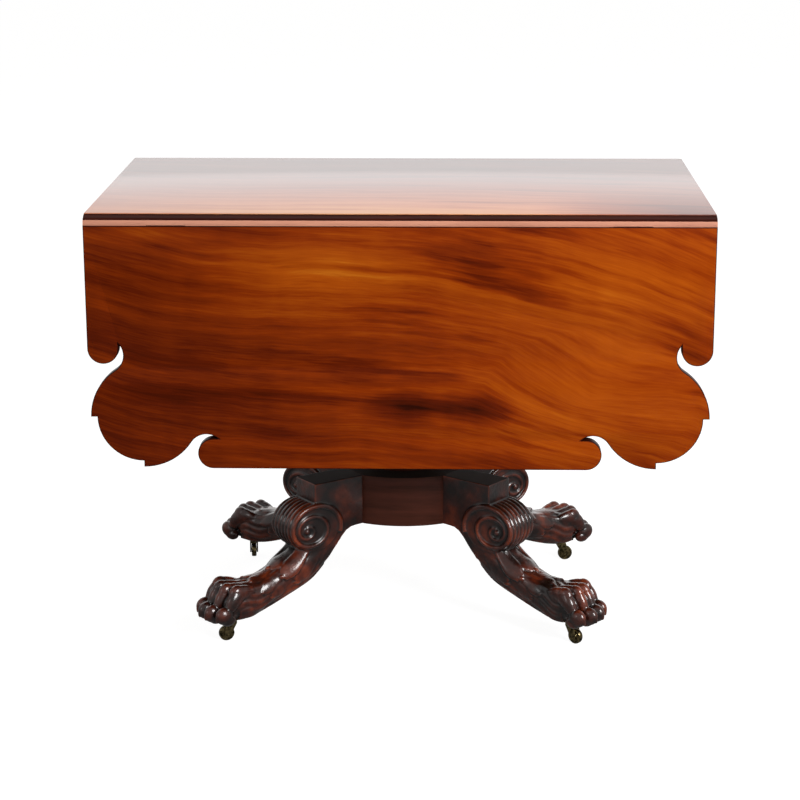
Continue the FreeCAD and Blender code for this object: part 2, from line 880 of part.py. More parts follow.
def make_drawer():
    """Drawer with its bottom grooved into the front and sides."""
    drawer_knob = node("drawer_knob", knob(ENDS["right"]))
    bottom = node(
        "drawer_bottom",
        box(
            (drawer_back_x, front_back_x + S.drawer_groove),
            along(0, 2 * (drawer_half - S.drawer_side_thick + S.drawer_groove)),
            (bottom_low, bottom_high),
        ),
    )
    front = box(
        (front_back_x, frame_half),
        along(0, drawer_opening - 2 * S.drawer_gap),
        (front_low, front_high),
    )
    node("drawer_front", cut(front, bottom, drawer_knob))
    for side_name, side in SIDES.items():
        board = box(
            (drawer_back_x, front_back_x),
            across(side, drawer_half - S.drawer_side_thick, drawer_half),
            (front_low, front_high),
        )
        node(f"{side_name}_drawer_side", cut(board, bottom))
    back = box(
        (drawer_back_x, drawer_back_x + S.drawer_side_thick),
        along(0, 2 * (drawer_half - S.drawer_side_thick)),
        (bottom_high, front_high),
    )
    node("drawer_back", back)


def make_drawer_frame():
    """Stiles, upper rail and blade round the drawer, with its runners and kickers."""
    end_x = (inside_half, frame_half)
    whole = (frame_low, top_under)
    node("drawer_blade", box(end_x, along(0, drawer_opening), (frame_low, opening_low)))
    node("drawer_upper_rail", box(end_x, along(0, drawer_opening), (opening_high, top_under)))
    runners = []
    kickers = []
    for side_name, side in SIDES.items():
        node(f"{side_name}_drawer_stile", box(end_x, across(side, opening_half, rail_outer), whole))
        reach = across(side, rail_inner - S.runner_width, rail_inner)
        length = (drawer_back_x - S.drawer_side_thick, inside_half)
        ledge = box(length, reach, (frame_low, opening_low))
        guide_y = across(side, drawer_half + S.drawer_side_gap / 2, rail_inner)
        guide = box(length, guide_y, (opening_low, opening_low + S.runner_guide_height))
        runners.append(fuse(ledge, guide))
        kickers.append(box(length, reach, (opening_high, top_under)))
    node("drawer_runners", together(*runners))
    node("drawer_kickers", together(*kickers))


def make_sham_end():
    """Left end rail, grooved like the drawer front at the other end."""
    sham_knob = node("sham_drawer_knob", knob(ENDS["left"]))
    rail = box(
        (-frame_half, -inside_half),
        along(0, S.frame_width),
        (frame_low, top_under),
    )
    depth = (-frame_half - S.overrun, -frame_half + S.sham_groove_depth)
    rim = box(depth, along(0, drawer_opening), (opening_low, opening_high))
    field = box(
        depth,
        along(0, drawer_opening - 2 * S.sham_groove_width),
        (opening_low + S.sham_groove_width, opening_high - S.sham_groove_width),
    )
    node("left_end_rail", cut(rail, cut(rim, field), sham_knob))


# Pillar

def curved(start, end, manner):
    """A quarter of an oval from one ring of a profile to another, in a few steps."""
    rings = []
    for step in range(1, CURVE_FLAT_COUNT):
        turn = sized(90 * step / CURVE_FLAT_COUNT)
        early, late = sine(turn), 1 - cosine(turn)
        out, up = (early, late) if manner == "out first" else (late, early)
        rings.append((start[0] + (end[0] - start[0]) * out, start[1] + (end[1] - start[1]) * up))
    return rings + [end]


def column_profile():
    """Foot, waist, urn, collar and cap of the column."""
    height = bearer_low - S.platform_top
    rings = [(S.column_foot_radius, S.platform_top)]
    for name, rise, manner in COLUMN_SHARES:
        end = (getattr(S, name), S.platform_top + height * rise)
        rings += [end] if manner == "straight" else curved(rings[-1], end, manner)
    return rings + [(S.column_cap_radius, bearer_low)]


def make_pillar(bearer_screws, dowels):
    """Column between the bearer board and the platform."""
    tenon = rod(
        KNUCKLE_FLAT_COUNT,
        "Z",
        (0, 0),
        S.column_tenon_radius,
        S.platform_top - S.column_tenon_length,
        frame_low,
    )
    column = node("column", fuse(turned(COLUMN_FLAT_COUNT, column_profile()), tenon))
    board = box(along(0, S.bearer_length), along(0, S.frame_width), (bearer_low, frame_low))
    node("bearer_board", cut(board, column, bearer_screws))
    node("platform", cut(platform_block(), column, dowels))


def seat_point(angle, side):
    """One end of a leg's flat seat on the platform, at the side of the leg's plane."""
    half = S.leg_width / 2 * side
    return (
        S.platform_reach * cosine(angle) - half * sine(angle),
        S.platform_reach * sine(angle) + half * cosine(angle),
    )


def platform_block():
    """Platform seen from above: a flat seat for each leg, with bowed faces between the seats."""
    right = [
        go(*seat_point(-S.leg_angle, -1)),
        go(*seat_point(-S.leg_angle, 1)),
        bend(*seat_point(S.leg_angle, -1), S.platform_bow_radius, 1),
        go(*seat_point(S.leg_angle, 1)),
    ]
    left = mirrored(right)
    left[0] = left[0]._replace(radius=S.platform_bow_radius, turn=1)
    right[0] = right[0]._replace(radius=S.platform_bow_radius, turn=1)
    return prism("XY", right + left, platform_low, S.platform_top)


# Carved legs, all from one pattern

def leg_angle(side, end):
    """Angle of a leg in plan, from the table's right."""
    return side * S.leg_angle if end > 0 else 180 - side * S.leg_angle


def shank():
    """Shank that swells out of the platform in a belly and dips at the instep."""
    belly = round_flats((S.belly_out, S.belly_up), S.belly_radius, *BELLY_ANGLES, BELLY_FLAT_COUNT)
    instep = round_flats((S.instep_out, S.instep_up), S.instep_radius, *INSTEP_ANGLES, INSTEP_FLAT_COUNT)
    outline = belly + instep + [go(S.volute_out, S.volute_up)]
    form = prism("XZ", outline, *along(0, S.shank_width))
    return chamfer_short_edges(form, S.leg_width, S.shank_chamfer)


def paw_core():
    """Pad of the paw behind the toes, flat underneath where the caster's plate goes."""
    brow = round_flats(
        (S.paw_front - S.paw_front_radius, S.paw_up - S.paw_front_radius),
        S.paw_front_radius,
        0,
        90,
        PAW_FLAT_COUNT,
    )
    outline = [go(S.heel_out, sole_z), go(S.paw_front, sole_z)] + brow + [go(S.heel_out, S.paw_up)]
    form = prism("XZ", outline, *along(0, S.paw_width))
    return chamfer_short_edges(form, S.paw_front_radius, S.toe_chamfer)


def toe(place):
    """One toe with two knuckles: the outer toes stand back from the middle ones."""
    back = S.toe_set_back * (abs(place) - TOE_PLACES[2])
    knuckle = (S.knuckle_out - back, S.knuckle_up)
    tip = (S.toe_tip - S.toe_tip_radius - back, S.toe_low + S.toe_tip_radius)
    low, high = along(S.toe_pitch * place, S.toe_width)
    web = prism(
        "XZ",
        [go(S.toe_root, sole_z), go(*tip), go(*knuckle), go(S.toe_root, S.knuckle_up)],
        low + S.toe_chamfer,
        high - S.toe_chamfer,
    )
    return fuse(
        web,
        rod(TOE_FLAT_COUNT, "Y", knuckle, S.knuckle_radius, low, high),
        rod(TOE_FLAT_COUNT, "Y", tip, S.toe_tip_radius, low, high),
    )


def volute_groove():
    """Spiral groove that draws in by the same share each turn, in short flats."""
    outer, inner = [], []
    for flat in range(round(VOLUTE_TURNS * VOLUTE_FLAT_COUNT) + 1):
        angle = sized(VOLUTE_START_ANGLE - 360 * flat / VOLUTE_FLAT_COUNT)
        radius = S.volute_start_radius * VOLUTE_TURN_SHARE ** (flat / VOLUTE_FLAT_COUNT)
        for line, reach in ((outer, radius), (inner, radius * (1 - VOLUTE_GROOVE_SHARE))):
            line.append(go(volute_eye_out + reach * cosine(angle), S.volute_up + reach * sine(angle)))
    return outer + inner[::-1]


def volute():
    """Scroll across the head of the leg, proud of the block on both faces."""
    half = S.leg_width / 2 + S.volute_stand
    depth = S.volute_groove_depth
    roll = rod(WHEEL_FLAT_COUNT, "Y", (S.volute_out, S.volute_up), S.volute_radius, -half, half)
    front_groove = prism("XZ", volute_groove(), -half - S.overrun, depth - half)
    rear_groove = prism("XZ", volute_groove(), half - depth, half + S.overrun)
    eye_half = half + S.volute_stand
    centre = (volute_eye_out, S.volute_up)
    eye = rod(ROD_FLAT_COUNT, "Y", centre, S.volute_eye_radius, -eye_half, eye_half)
    return fuse(cut(roll, front_groove, rear_groove), eye)


def leg_pattern(leg_dowels, plate_screws):
    """Block, volute, shank and paw of one leg, carved from one piece, along the X axis."""
    block = prism(
        "XZ",
        [
            go(S.platform_reach, platform_low),
            go(S.knee_out, platform_low),
            go(S.volute_out, S.volute_up),
            go(S.block_end, S.volute_up),
            go(S.block_end, S.platform_top),
            go(S.platform_reach, S.platform_top),
        ],
        *along(0, S.leg_width),
    )
    toes = [toe(place) for place in TOE_PLACES]
    return cut(fuse(block, shank(), volute(), paw_core(), *toes), leg_dowels, plate_screws)


def leg_dowel_pair():
    """Two dowels across the joint between the platform and one leg."""
    return together(
        *[
            rod(
                ROD_FLAT_COUNT,
                "X",
                (0, platform_low + S.platform_thick * rise),
                S.dowel_radius,
                *along(S.platform_reach, S.dowel_length),
            )
            for rise in DOWEL_RISE_SHARES
        ]
    )


# Casters, each modelled about its own stem and then placed under its paw

plate_low = sole_z - S.caster_plate_thick
crown_top = plate_low - S.fork_gap
crown_low = crown_top - S.crown_thick
cheek_inner = S.wheel_width / 2 + S.fork_gap
cheek_outer = cheek_inner + S.cheek_thick


def caster_screw_pair():
    """Two screws up through opposite corners of a caster's plate."""
    shift = S.caster_plate_size * CASTER_SCREW_SHARE
    return together(
        *[
            screw("Z", (corner * shift, corner * shift), plate_low, plate_low + S.caster_screw_length)
            for corner in (-1, 1)
        ]
    )


def caster_plate(screws):
    """Square plate with the hole that the fork's stem turns in."""
    square = along(0, S.caster_plate_size)
    plate = box(square, square, (plate_low, sole_z))
    bore = snug_bore("Z", (0, 0), S.stem_radius, plate_low, sole_z)
    return cut(plate, bore, screws)


def caster_fork():
    """Crown with its stem above and a cheek each side of the wheel, swept back to the axle."""
    reach = S.crown_length / 2
    foot = S.cheek_foot / 2
    outline = [
        go(-reach, crown_top),
        go(-reach, crown_low),
        go(S.wheel_trail - foot, S.wheel_radius - foot),
        go(S.wheel_trail + foot, S.wheel_radius - foot),
        go(S.wheel_trail + foot, S.wheel_radius + foot),
        go(reach, crown_top),
    ]
    crown = box(along(0, S.crown_length), along(0, 2 * cheek_outer), (crown_low, crown_top))
    stem = rod(ROD_FLAT_COUNT, "Z", (0, 0), S.stem_radius, crown_low, sole_z - S.stem_end_gap)
    sides = ((cheek_inner, cheek_outer), (-cheek_outer, -cheek_inner))
    cheeks = [prism("XZ", outline, *faces) for faces in sides]
    return cut(fuse(crown, stem, *cheeks), caster_axle())


def caster_axle():
    reach = cheek_outer + S.pin_clearance * 2
    return rod(ROD_FLAT_COUNT, "Y", (S.wheel_trail, S.wheel_radius), S.axle_radius, -reach, reach)


def caster_wheel():
    """Wheel that turns on the axle."""
    half = S.wheel_width / 2
    place = (S.wheel_trail, S.wheel_radius)
    disc = rod(WHEEL_FLAT_COUNT, "Y", place, S.wheel_radius, -half, half)
    return cut(disc, snug_bore("Y", place, S.axle_radius, -half, half))


def make_legs_and_casters():
    """Four legs from one pattern, each with its caster, and what fastens them."""
    dowel_pair = leg_dowel_pair()
    screw_pair = caster_screw_pair()
    leg_screws = together(screw_pair)
    bind(leg_screws, "Placement.Base.x", S.caster_out)
    leg = leg_pattern(dowel_pair, leg_screws)
    plate = caster_plate(screw_pair)
    fork = caster_fork()
    axle = caster_axle()
    wheel = caster_wheel()
    dowels = []
    plates = []
    screws = []
    for side_name, side in SIDES.items():
        for end_name, end in ENDS.items():
            angle = leg_angle(side, end)
            swivel = sized(CASTER_TURNS[side_name, end_name])
            corner = f"{side_name}_{end_name}"
            node(f"{corner}_leg", placed(leg, angle))
            node(f"{corner}_caster_fork", placed(fork, angle, S.caster_out, swivel))
            node(f"{corner}_caster_axle", placed(axle, angle, S.caster_out, swivel))
            node(f"{corner}_caster_wheel", placed(wheel, angle, S.caster_out, swivel))
            dowels.append(placed(dowel_pair, angle))
            plates.append(placed(plate, angle, S.caster_out))
            screws.append(placed(screw_pair, angle, S.caster_out))
    node("caster_plates", together(*plates))
    node("caster_plate_screws", together(*screws))
    return node("leg_dowels", together(*dowels))


# Whole table

def write_nodes():
    """Check every object of the document, then write each piece to its own file."""
    doc.recompute()
    for item in doc.Objects:
        if "Invalid" in item.State or "Error" in item.State:
            raise RuntimeError(f"{item.Name} ({item.Label}) failed: {item.State}")
    for item in nodes:
        if item.Shape.isNull() or not item.Shape.isValid() or not item.Shape.Solids:
            raise RuntimeError(f"{item.Label} has no sound solid")
    os.makedirs("parts", exist_ok=True)
    for item in nodes:
        item.Shape.exportStep(f"parts/{item.Label}.step")
        print(f"{item.Label}: {len(item.Shape.Solids)} solids, {item.Shape.Volume:.0f} cubic millimetres")


frame_screws = node("frame_screws", frame_screw_group())
bearer_screws = node("bearer_screws", bearer_screw_group())
make_top_and_leaves(frame_screws)
make_rails(frame_screws, bearer_screws)
make_corner_blocks()
make_drawer()
make_drawer_frame()
make_sham_end()
leg_dowels = make_legs_and_casters()
make_pillar(bearer_screws, leg_dowels)
write_nodes()
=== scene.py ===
# %% [markdown]
# # Dressing a drop-leaf breakfast table
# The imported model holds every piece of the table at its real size. This file gives those pieces
# their looks: polished mahogany, brass, iron and the plain woods inside, and the rounded and
# carved surfaces that the construction model keeps simple. The first step loads the pieces and
# measures them.

# %% Load the table
import bmesh
import bpy
import json
import math
from mathutils import Matrix, Vector


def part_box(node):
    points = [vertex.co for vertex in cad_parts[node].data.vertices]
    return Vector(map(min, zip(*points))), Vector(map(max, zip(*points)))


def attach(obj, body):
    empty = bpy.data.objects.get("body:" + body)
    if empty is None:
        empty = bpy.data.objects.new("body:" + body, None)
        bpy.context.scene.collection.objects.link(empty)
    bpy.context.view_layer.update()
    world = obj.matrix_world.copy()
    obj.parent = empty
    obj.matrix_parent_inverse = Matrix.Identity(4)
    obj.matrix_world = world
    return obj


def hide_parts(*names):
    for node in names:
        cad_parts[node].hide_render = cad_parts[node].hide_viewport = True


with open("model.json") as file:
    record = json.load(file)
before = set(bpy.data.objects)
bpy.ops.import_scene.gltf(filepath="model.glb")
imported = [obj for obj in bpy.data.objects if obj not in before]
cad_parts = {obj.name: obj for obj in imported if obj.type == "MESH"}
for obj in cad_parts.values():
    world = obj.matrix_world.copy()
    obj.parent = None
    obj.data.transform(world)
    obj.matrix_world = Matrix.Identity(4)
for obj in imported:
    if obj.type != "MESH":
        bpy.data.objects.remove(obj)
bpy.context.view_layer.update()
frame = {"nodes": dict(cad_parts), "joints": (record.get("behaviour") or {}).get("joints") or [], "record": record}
print("pieces in the frame:", len(frame["nodes"]))


# %% [markdown]
# ## Colours and nodes
# Colours are written the way a paint chart gives them, as sRGB hex. The renderer works in linear
# light, so one function turns each one over. A second function adds a node to a material with its
# settings and links, and a third sets a shader's plain numbers, which keeps each finish short.

# %% Colours and nodes
def paint(code):
    """An sRGB hex colour as the linear colour that the shaders take."""
    parts = [int(code[start:start + 2], 16) / 255 for start in (1, 3, 5)]
    linear = [p / 12.92 if p <= 0.04045 else ((p + 0.055) / 1.055) ** 2.4 for p in parts]
    return (*linear, 1.0)


def add(tree, kind, sockets=None, stops=None, **settings):
    """Adds a node: settings are its own fields, sockets its inputs' values or what feeds them."""
    made = tree.nodes.new(kind)
    for field, value in settings.items():
        setattr(made, field, value)
    for socket, value in (sockets or {}).items():
        if isinstance(value, bpy.types.NodeSocket):
            tree.links.new(value, made.inputs[socket])
        else:
            made.inputs[socket].default_value = value
    for index, (place, code) in enumerate(stops or []):
        ramp = made.color_ramp.elements
        stop = ramp[index] if index < 2 else ramp.new(place)
        stop.position = place
        stop.color = paint(code)
    return made


def finish_of(name):
    """A new material with only its output and a Principled shader joined to it."""
    material = bpy.data.materials.new(name)
    material.use_nodes = True
    tree = material.node_tree
    return material, tree, tree.nodes["Principled BSDF"]


def adjust(shader, values):
    """Sets plain numbers and colours on the shader."""
    for socket, value in values.items():
        shader.inputs[socket].default_value = value


# %% [markdown]
# ## Sums on numbers
# A pattern is worked out by small sums, node by node. Two helpers stand for most of them: any
# single sum, and the one that is needed most, which adds a weighted value to a running total.

# %% Sums on numbers
def reckon(tree, operation, *values):
    """The result of one sum, on numbers or on what other nodes give."""
    return add(tree, "ShaderNodeMath", dict(enumerate(values)), operation=operation).outputs[0]


def weighted(tree, total, value, weight):
    """total + value * weight"""
    return reckon(tree, "MULTIPLY_ADD", value, weight, total)


# %% [markdown]
# ## The camera
# The photograph was taken with a long lens from a little above the top. The place and turn of the
# camera were worked out from the corners of the top and the feet of the casters, so the render
# can be laid over the photograph.

# %% The camera
FRAME_PIXELS = 800
FOCAL_PIXELS = 2217.4
SENSOR_MM = 36
CAMERA_PLACE = Vector((0.0886, -3.6586, 1.3372))
CAMERA_YAW = math.radians(-1.491)
CAMERA_PITCH = math.radians(14.989)
CAMERA_ROLL = math.radians(-0.116)

scene = bpy.context.scene
forward = Vector((math.sin(CAMERA_YAW) * math.cos(CAMERA_PITCH),
                  math.cos(CAMERA_YAW) * math.cos(CAMERA_PITCH),
                  -math.sin(CAMERA_PITCH)))
level = Vector((math.cos(CAMERA_YAW), -math.sin(CAMERA_YAW), 0))
right = math.cos(CAMERA_ROLL) * level + math.sin(CAMERA_ROLL) * level.cross(forward)
up = right.cross(forward)
turn = Matrix((right, up, -forward)).transposed()

lens = bpy.data.cameras.new("photo_camera")
lens.sensor_width = SENSOR_MM
lens.lens = FOCAL_PIXELS * SENSOR_MM / FRAME_PIXELS
camera = bpy.data.objects.new("photo_camera", lens)
camera.matrix_world = Matrix.Translation(CAMERA_PLACE) @ turn.to_4x4()
scene.collection.objects.link(camera)
scene.camera = camera
print("lens:", round(lens.lens, 1), "mm")


# %% [markdown]
# ## The studio's white
# The photograph stands on plain white. A white room all round would wash the polish out, so the
# world is white only to the camera, straight on or through glass. Reflections see it dimmed, and
# the surfaces get a soft light from it.

# %% The studio's white
WORLD_LIGHT = 0.3
WORLD_SHEEN = 0.3

scene.view_settings.view_transform = "Standard"
world = bpy.data.worlds.new("studio")
world.use_nodes = True
scene.world = world
sky = world.node_tree
sky.nodes.clear()
rays = add(sky, "ShaderNodeLightPath").outputs
seen = weighted(sky, rays["Is Camera Ray"], rays["Is Glossy Ray"], WORLD_SHEEN)
seen = reckon(sky, "MAXIMUM", seen, rays["Is Transmission Ray"])
soft = add(sky, "ShaderNodeBackground", {"Color": paint("#fffdfa"), "Strength": WORLD_LIGHT})
white = add(sky, "ShaderNodeBackground", {"Color": paint("#ffffff"), "Strength": 1.0})
both = add(sky, "ShaderNodeMixShader", {0: seen, 1: soft.outputs[0], 2: white.outputs[0]})
add(sky, "ShaderNodeOutputWorld", {"Surface": both.outputs[0]})


# %% [markdown]
# ## Lamps
# The key light stands in front on the right, as the photograph's highlights show, and draws the
# carving. A weak fill and a lamp at the left end lift the shadows, and one above lights the top.
# The pale sheen on the top is the reflection of a large white sheet behind the table, and more of it is painted
# into the top's colour.

# %% Lamps
# Each lamp: its place and its target in metres, its width and height, and its power in watts
LAMPS = {
    "key_softbox": ((2.2, -2.6, 2.0), (0, -0.2, 0.25), 1.4, 1.5, 132),
    "fill_softbox": ((-2.2, -2.2, 1.4), (0, 0, 0.2), 0.6, 1.0, 5),
    "left_end_softbox": ((-3.2, 0.8, 1.3), (0, 0.1, 0.4), 0.8, 1.2, 10),
    "top_softbox": ((0, 0.2, 3.2), (0, 0, 0.4), 2.2, 1.6, 26),
    "white_backdrop": ((0, 6, 2.4), (0, 0, 2.4), 10, 5, 95),
}


def softbox(name, place, target, width, height, watts):
    """A rectangular studio lamp that points at a target."""
    lamp = bpy.data.lights.new(name, "AREA")
    lamp.shape = "RECTANGLE"
    lamp.size = width
    lamp.size_y = height
    lamp.energy = watts
    holder = bpy.data.objects.new(name, lamp)
    aim = (Vector(place) - Vector(target)).to_track_quat("Z", "Y")
    holder.matrix_world = Matrix.Translation(Vector(place)) @ aim.to_matrix().to_4x4()
    scene.collection.objects.link(holder)
    return holder


lamps = {name: softbox(name, *row) for name, row in LAMPS.items()}
lamps["left_end_softbox"].visible_glossy = False
lamps["white_backdrop"].visible_camera = False
print("lamps:", len(lamps))


# %% [markdown]
# ## The floor
# The floor glows just enough to look white, and only to the camera. It is a mid grey below that
# glow, so the table still leaves its faint shadow on it.

# %% The floor
FLOOR_REACH = 30
FLOOR_GLOW = 0.915

bm = bmesh.new()
bmesh.ops.create_grid(bm, x_segments=1, y_segments=1, size=FLOOR_REACH)
floor_mesh = bpy.data.meshes.new("studio_floor")
bm.to_mesh(floor_mesh)
bm.free()
floor = bpy.data.objects.new("studio_floor", floor_mesh)
scene.collection.objects.link(floor)
material, tree, shader = finish_of("white_studio_floor")
camera_ray = add(tree, "ShaderNodeLightPath").outputs["Is Camera Ray"]
glow = reckon(tree, "MULTIPLY", camera_ray, FLOOR_GLOW)
tree.links.new(glow, shader.inputs["Emission Strength"])
adjust(shader, {"Base Color": paint("#8f8f8f"), "Emission Color": paint("#ffffff"),
                "Roughness": 0.9, "Specular IOR Level": 0.0})
floor_mesh.materials.append(material)


# %% [markdown]
# ## Parts of a pattern
# Every finish here is made from the piece's own coordinates, in metres: noise, stretched to run
# as fibres do, a ramp that turns a tone into a colour, and a bump that lets the light catch the
# grain.

# %% Parts of a pattern
def position(tree):
    """The place on the piece, in metres."""
    return add(tree, "ShaderNodeTexCoord").outputs["Object"]


def stretched(tree, place, stretch):
    """The place multiplied axis by axis, so a pattern repeats that often in a metre."""
    made = add(tree, "ShaderNodeVectorMath", {0: place, 1: stretch}, operation="MULTIPLY")
    return made.outputs[0]


def noise(tree, place, scale, detail, roughness=0.5):
    """Soft random blotches."""
    sockets = {"Vector": place, "Scale": scale, "Detail": detail, "Roughness": roughness}
    return add(tree, "ShaderNodeTexNoise", sockets).outputs[0]


def patch(tree, place, centre, reach):
    """A soft round patch: 1 at its centre and 0 past its reach, both in metres."""
    shift = [-c / r for c, r in zip(centre, reach)]
    scale = [1 / r for r in reach]
    local = add(tree, "ShaderNodeMapping", {"Vector": place, "Location": shift, "Scale": scale})
    spot = add(tree, "ShaderNodeTexGradient", {0: local.outputs[0]}, gradient_type="SPHERICAL")
    return spot.outputs["Fac"]


def coloured(tree, shader, tone, stops):
    """Turns a tone from 0 to 1 into the shader's colour."""
    colour = add(tree, "ShaderNodeValToRGB", {0: tone}, stops=stops)
    tree.links.new(colour.outputs[0], shader.inputs["Base Color"])


def bumped(tree, shader, *layers):
    """Lets heights tilt the surface, one over the other: each has its strength and its depth, in
    metres."""
    below = {}
    for height, strength, depth in layers:
        sockets = {"Height": height, "Strength": strength, "Distance": depth, **below}
        below = {"Normal": add(tree, "ShaderNodeBump", sockets).outputs[0]}
    tree.links.new(below["Normal"], shader.inputs["Normal"])


# %% [markdown]
# ## The run of the grain
# The leaves are sawn from one figured board. Its grain runs along the table and drops towards the
# right end in long arcs. One coordinate runs along the grain and one across it, and the second is
# bent by an arc, by slow waves and by a swirl where a branch grew.

# %% The run of the grain
# Where the arc turns, in metres, then the slow waves: how many in a metre, and how far they push
ARC_SHIFT = 0.1
WAVES = ((2.2, 0.05), (7.0, 0.016))


def grain_lines(tree, place, axes, along, across, bend, swirls):
    """Coordinates that follow the grain: along it, across it and through the board."""
    shifted = reckon(tree, "ADD", axes[along], ARC_SHIFT)
    arc = reckon(tree, "MULTIPLY", shifted, reckon(tree, "ABSOLUTE", shifted))
    line = weighted(tree, axes[across], arc, bend)
    for scale, push in WAVES:
        line = weighted(tree, line, noise(tree, place, scale, 2.0), push)
    for centre, reach, depth in swirls:
        line = weighted(tree, line, patch(tree, place, centre, reach), depth)
    through = axes[3 - along - across]
    return add(tree, "ShaderNodeCombineXYZ", {0: axes[along], 1: line, 2: through}).outputs[0]


# %% [markdown]
# ## Streaks and flames
# Noise that is stretched along the grain draws the broad bands, the streaks and the fine pores.
# Dark flames cut across them where the figure is strongest, and they deepen towards the right.

# %% Streaks and flames
# Each layer: how often it repeats in a metre along, across and through the grain, detail and weight
GRAIN_LAYERS = (((1.6, 14, 4), 3.0, 0.55), ((3.0, 75, 20), 4.0, 0.52), ((17, 4, 4), 2.0, 0.14),
                ((26, 380, 60), 3.0, 0.26))
GRAIN_ROUGHNESS = 0.55
FLAME_STRETCH = (4.0, 36.0, 8.0)
FLAME_EDGES = (0.52, 0.74)
FLAME_PLACES = (-0.45, 0.1)
FLAME_DEPTHS = (-0.1, -0.34)


def between(tree, value, ends, results=(0.0, 1.0)):
    """Maps one range onto another, and holds the result at both ends."""
    sockets = {"Value": value, "From Min": ends[0], "From Max": ends[1],
               "To Min": results[0], "To Max": results[1]}
    return add(tree, "ShaderNodeMapRange", sockets).outputs[0]


def streaks(tree, tone, grain, along_axis, contrast):
    """Adds the streaks and the flames to a tone, and gives the finest layer too, for the bump."""
    for stretch, detail, weight in GRAIN_LAYERS:
        layer = noise(tree, stretched(tree, grain, stretch), 1.0, detail, GRAIN_ROUGHNESS)
        centred = reckon(tree, "SUBTRACT", layer, 0.5)
        tone = weighted(tree, tone, centred, weight * contrast)
    flame = noise(tree, stretched(tree, grain, FLAME_STRETCH), 1.0, 3.0)
    flame = between(tree, flame, FLAME_EDGES)
    depth = between(tree, along_axis, FLAME_PLACES, [most * contrast for most in FLAME_DEPTHS])
    return weighted(tree, tone, flame, depth), layer


# %% [markdown]
# ## Polished mahogany
# Polish lies over the wood as a clear coat. The wood below is duller than the coat, so the shader
# has both: gloss is the roughness of the wood, shine is the refractive index of both, and coat
# says how much of the coat is left.

# %% Polished mahogany
PORE_BUMP = (0.03, 0.0004)
COAT_SMOOTHNESS = 0.7


def mahogany(name, along, across, stops, bend=0.0, zone=0.0, patches=(), swirls=(), contrast=1.0,
             gloss=0.16, shine=1.2, coat=1.0):
    """Polished mahogany. along and across are axes of the piece: 0 is X, 1 is Y and 2 is Z."""
    material, tree, shader = finish_of(name)
    place = position(tree)
    axes = add(tree, "ShaderNodeSeparateXYZ", {0: place}).outputs
    grain = grain_lines(tree, place, axes, along, across, bend, swirls)
    tone = weighted(tree, 0.5, axes[along], zone)
    for centre, reach, depth in patches:
        tone = weighted(tree, tone, patch(tree, place, centre, reach), depth)
    tone, pores = streaks(tree, tone, grain, axes[along], contrast)
    coloured(tree, shader, tone, stops)
    bumped(tree, shader, (pores, *PORE_BUMP))
    adjust(shader, {"Roughness": gloss, "IOR": shine, "Coat Weight": coat,
                    "Coat Roughness": gloss * COAT_SMOOTHNESS, "Coat IOR": shine})
    return material


# %% [markdown]
# ## The figured boards
# The leaf goes from red-brown on the left to orange on the right, with a light belt below the joint and a dark
# knot low in the middle. The top is the same wood, paler, and darker towards its right end; its paleness is partly
# a painted sheen, lighter at the front and darker at the rear. The sawn edges are painted darker, as shade, and
# the moulding paler, as a painted highlight.

# %% The figured boards
LEAF_STOPS = [(0.0, "#2c0b03"), (1.0, "#c06a17"), (0.3, "#5f1c05"), (0.5, "#842f06"),
              (0.75, "#a54a0b")]
# The top's ramp is paler than the leaf's, partly as a painted sheen.
TOP_STOPS = [(0.0, "#2c0d05"), (1.0, "#d8965e"), (0.35, "#6a250c"), (0.6, "#994822"),
             (0.8, "#bf7044")]
# Painted shade: the dark colour of the leaves' sawn edges and of the quirk above the moulding.
SHADED_EDGE_STOPS = [(0.0, "#150503"), (1.0, "#5a1d0c"), (0.5, "#2e0c05")]
# Painted highlight: the moulding's pale pink ramp.
MOULDING_HIGHLIGHT_STOPS = [(0.0, "#7a3a26"), (1.0, "#e6ae92"), (0.5, "#c98a70")]
LEAF_FACE = -0.29
LEAF_REACH = 0.5
TOP_FACE = 0.73
TOP_REACH = 1

# Patches on the leaf: x, z, half width, half height, and how much lighter the wood is there
LEAF_SPOTS = [(-0.39, 0.57, 0.25, 0.20, -0.05), (-0.36, 0.40, 0.30, 0.14, -0.07),
              (-0.13, 0.65, 0.26, 0.09, 0.34), (-0.40, 0.70, 0.16, 0.02, 0.25),
              (0.01, 0.42, 0.08, 0.035, -0.30), (0.12, 0.425, 0.07, 0.04, -0.30),
              (0.33, 0.60, 0.30, 0.20, 0.14), (0.30, 0.43, 0.22, 0.12, 0.16)]
LEAF_SWIRL = (0.30, 0.44, 0.17, 0.11, 0.05)
# Patches on the top: x, y, half width, half depth, and how much lighter. The first, lighter at the front, and the
# last, darker at the rear, are a painted sheen; the second darkens the right end.
TOP_SPOTS_WITH_SHEEN = [(-0.1, -0.35, 0.9, 0.45, 0.55), (0.45, -0.25, 0.25, 0.2, -0.35),
             (0.0, 0.3, 1.2, 0.55, -0.22)]


def on_leaf(x, z, wide, high, lighter):
    """A patch on the front leaf as it hangs, as centre, reach and depth."""
    return (x, LEAF_FACE, z), (wide, LEAF_REACH, high), lighter


def on_top(x, y, wide, deep, lighter):
    """A patch on the top, as centre, reach and depth."""
    return (x, y, TOP_FACE), (wide, deep, TOP_REACH), lighter


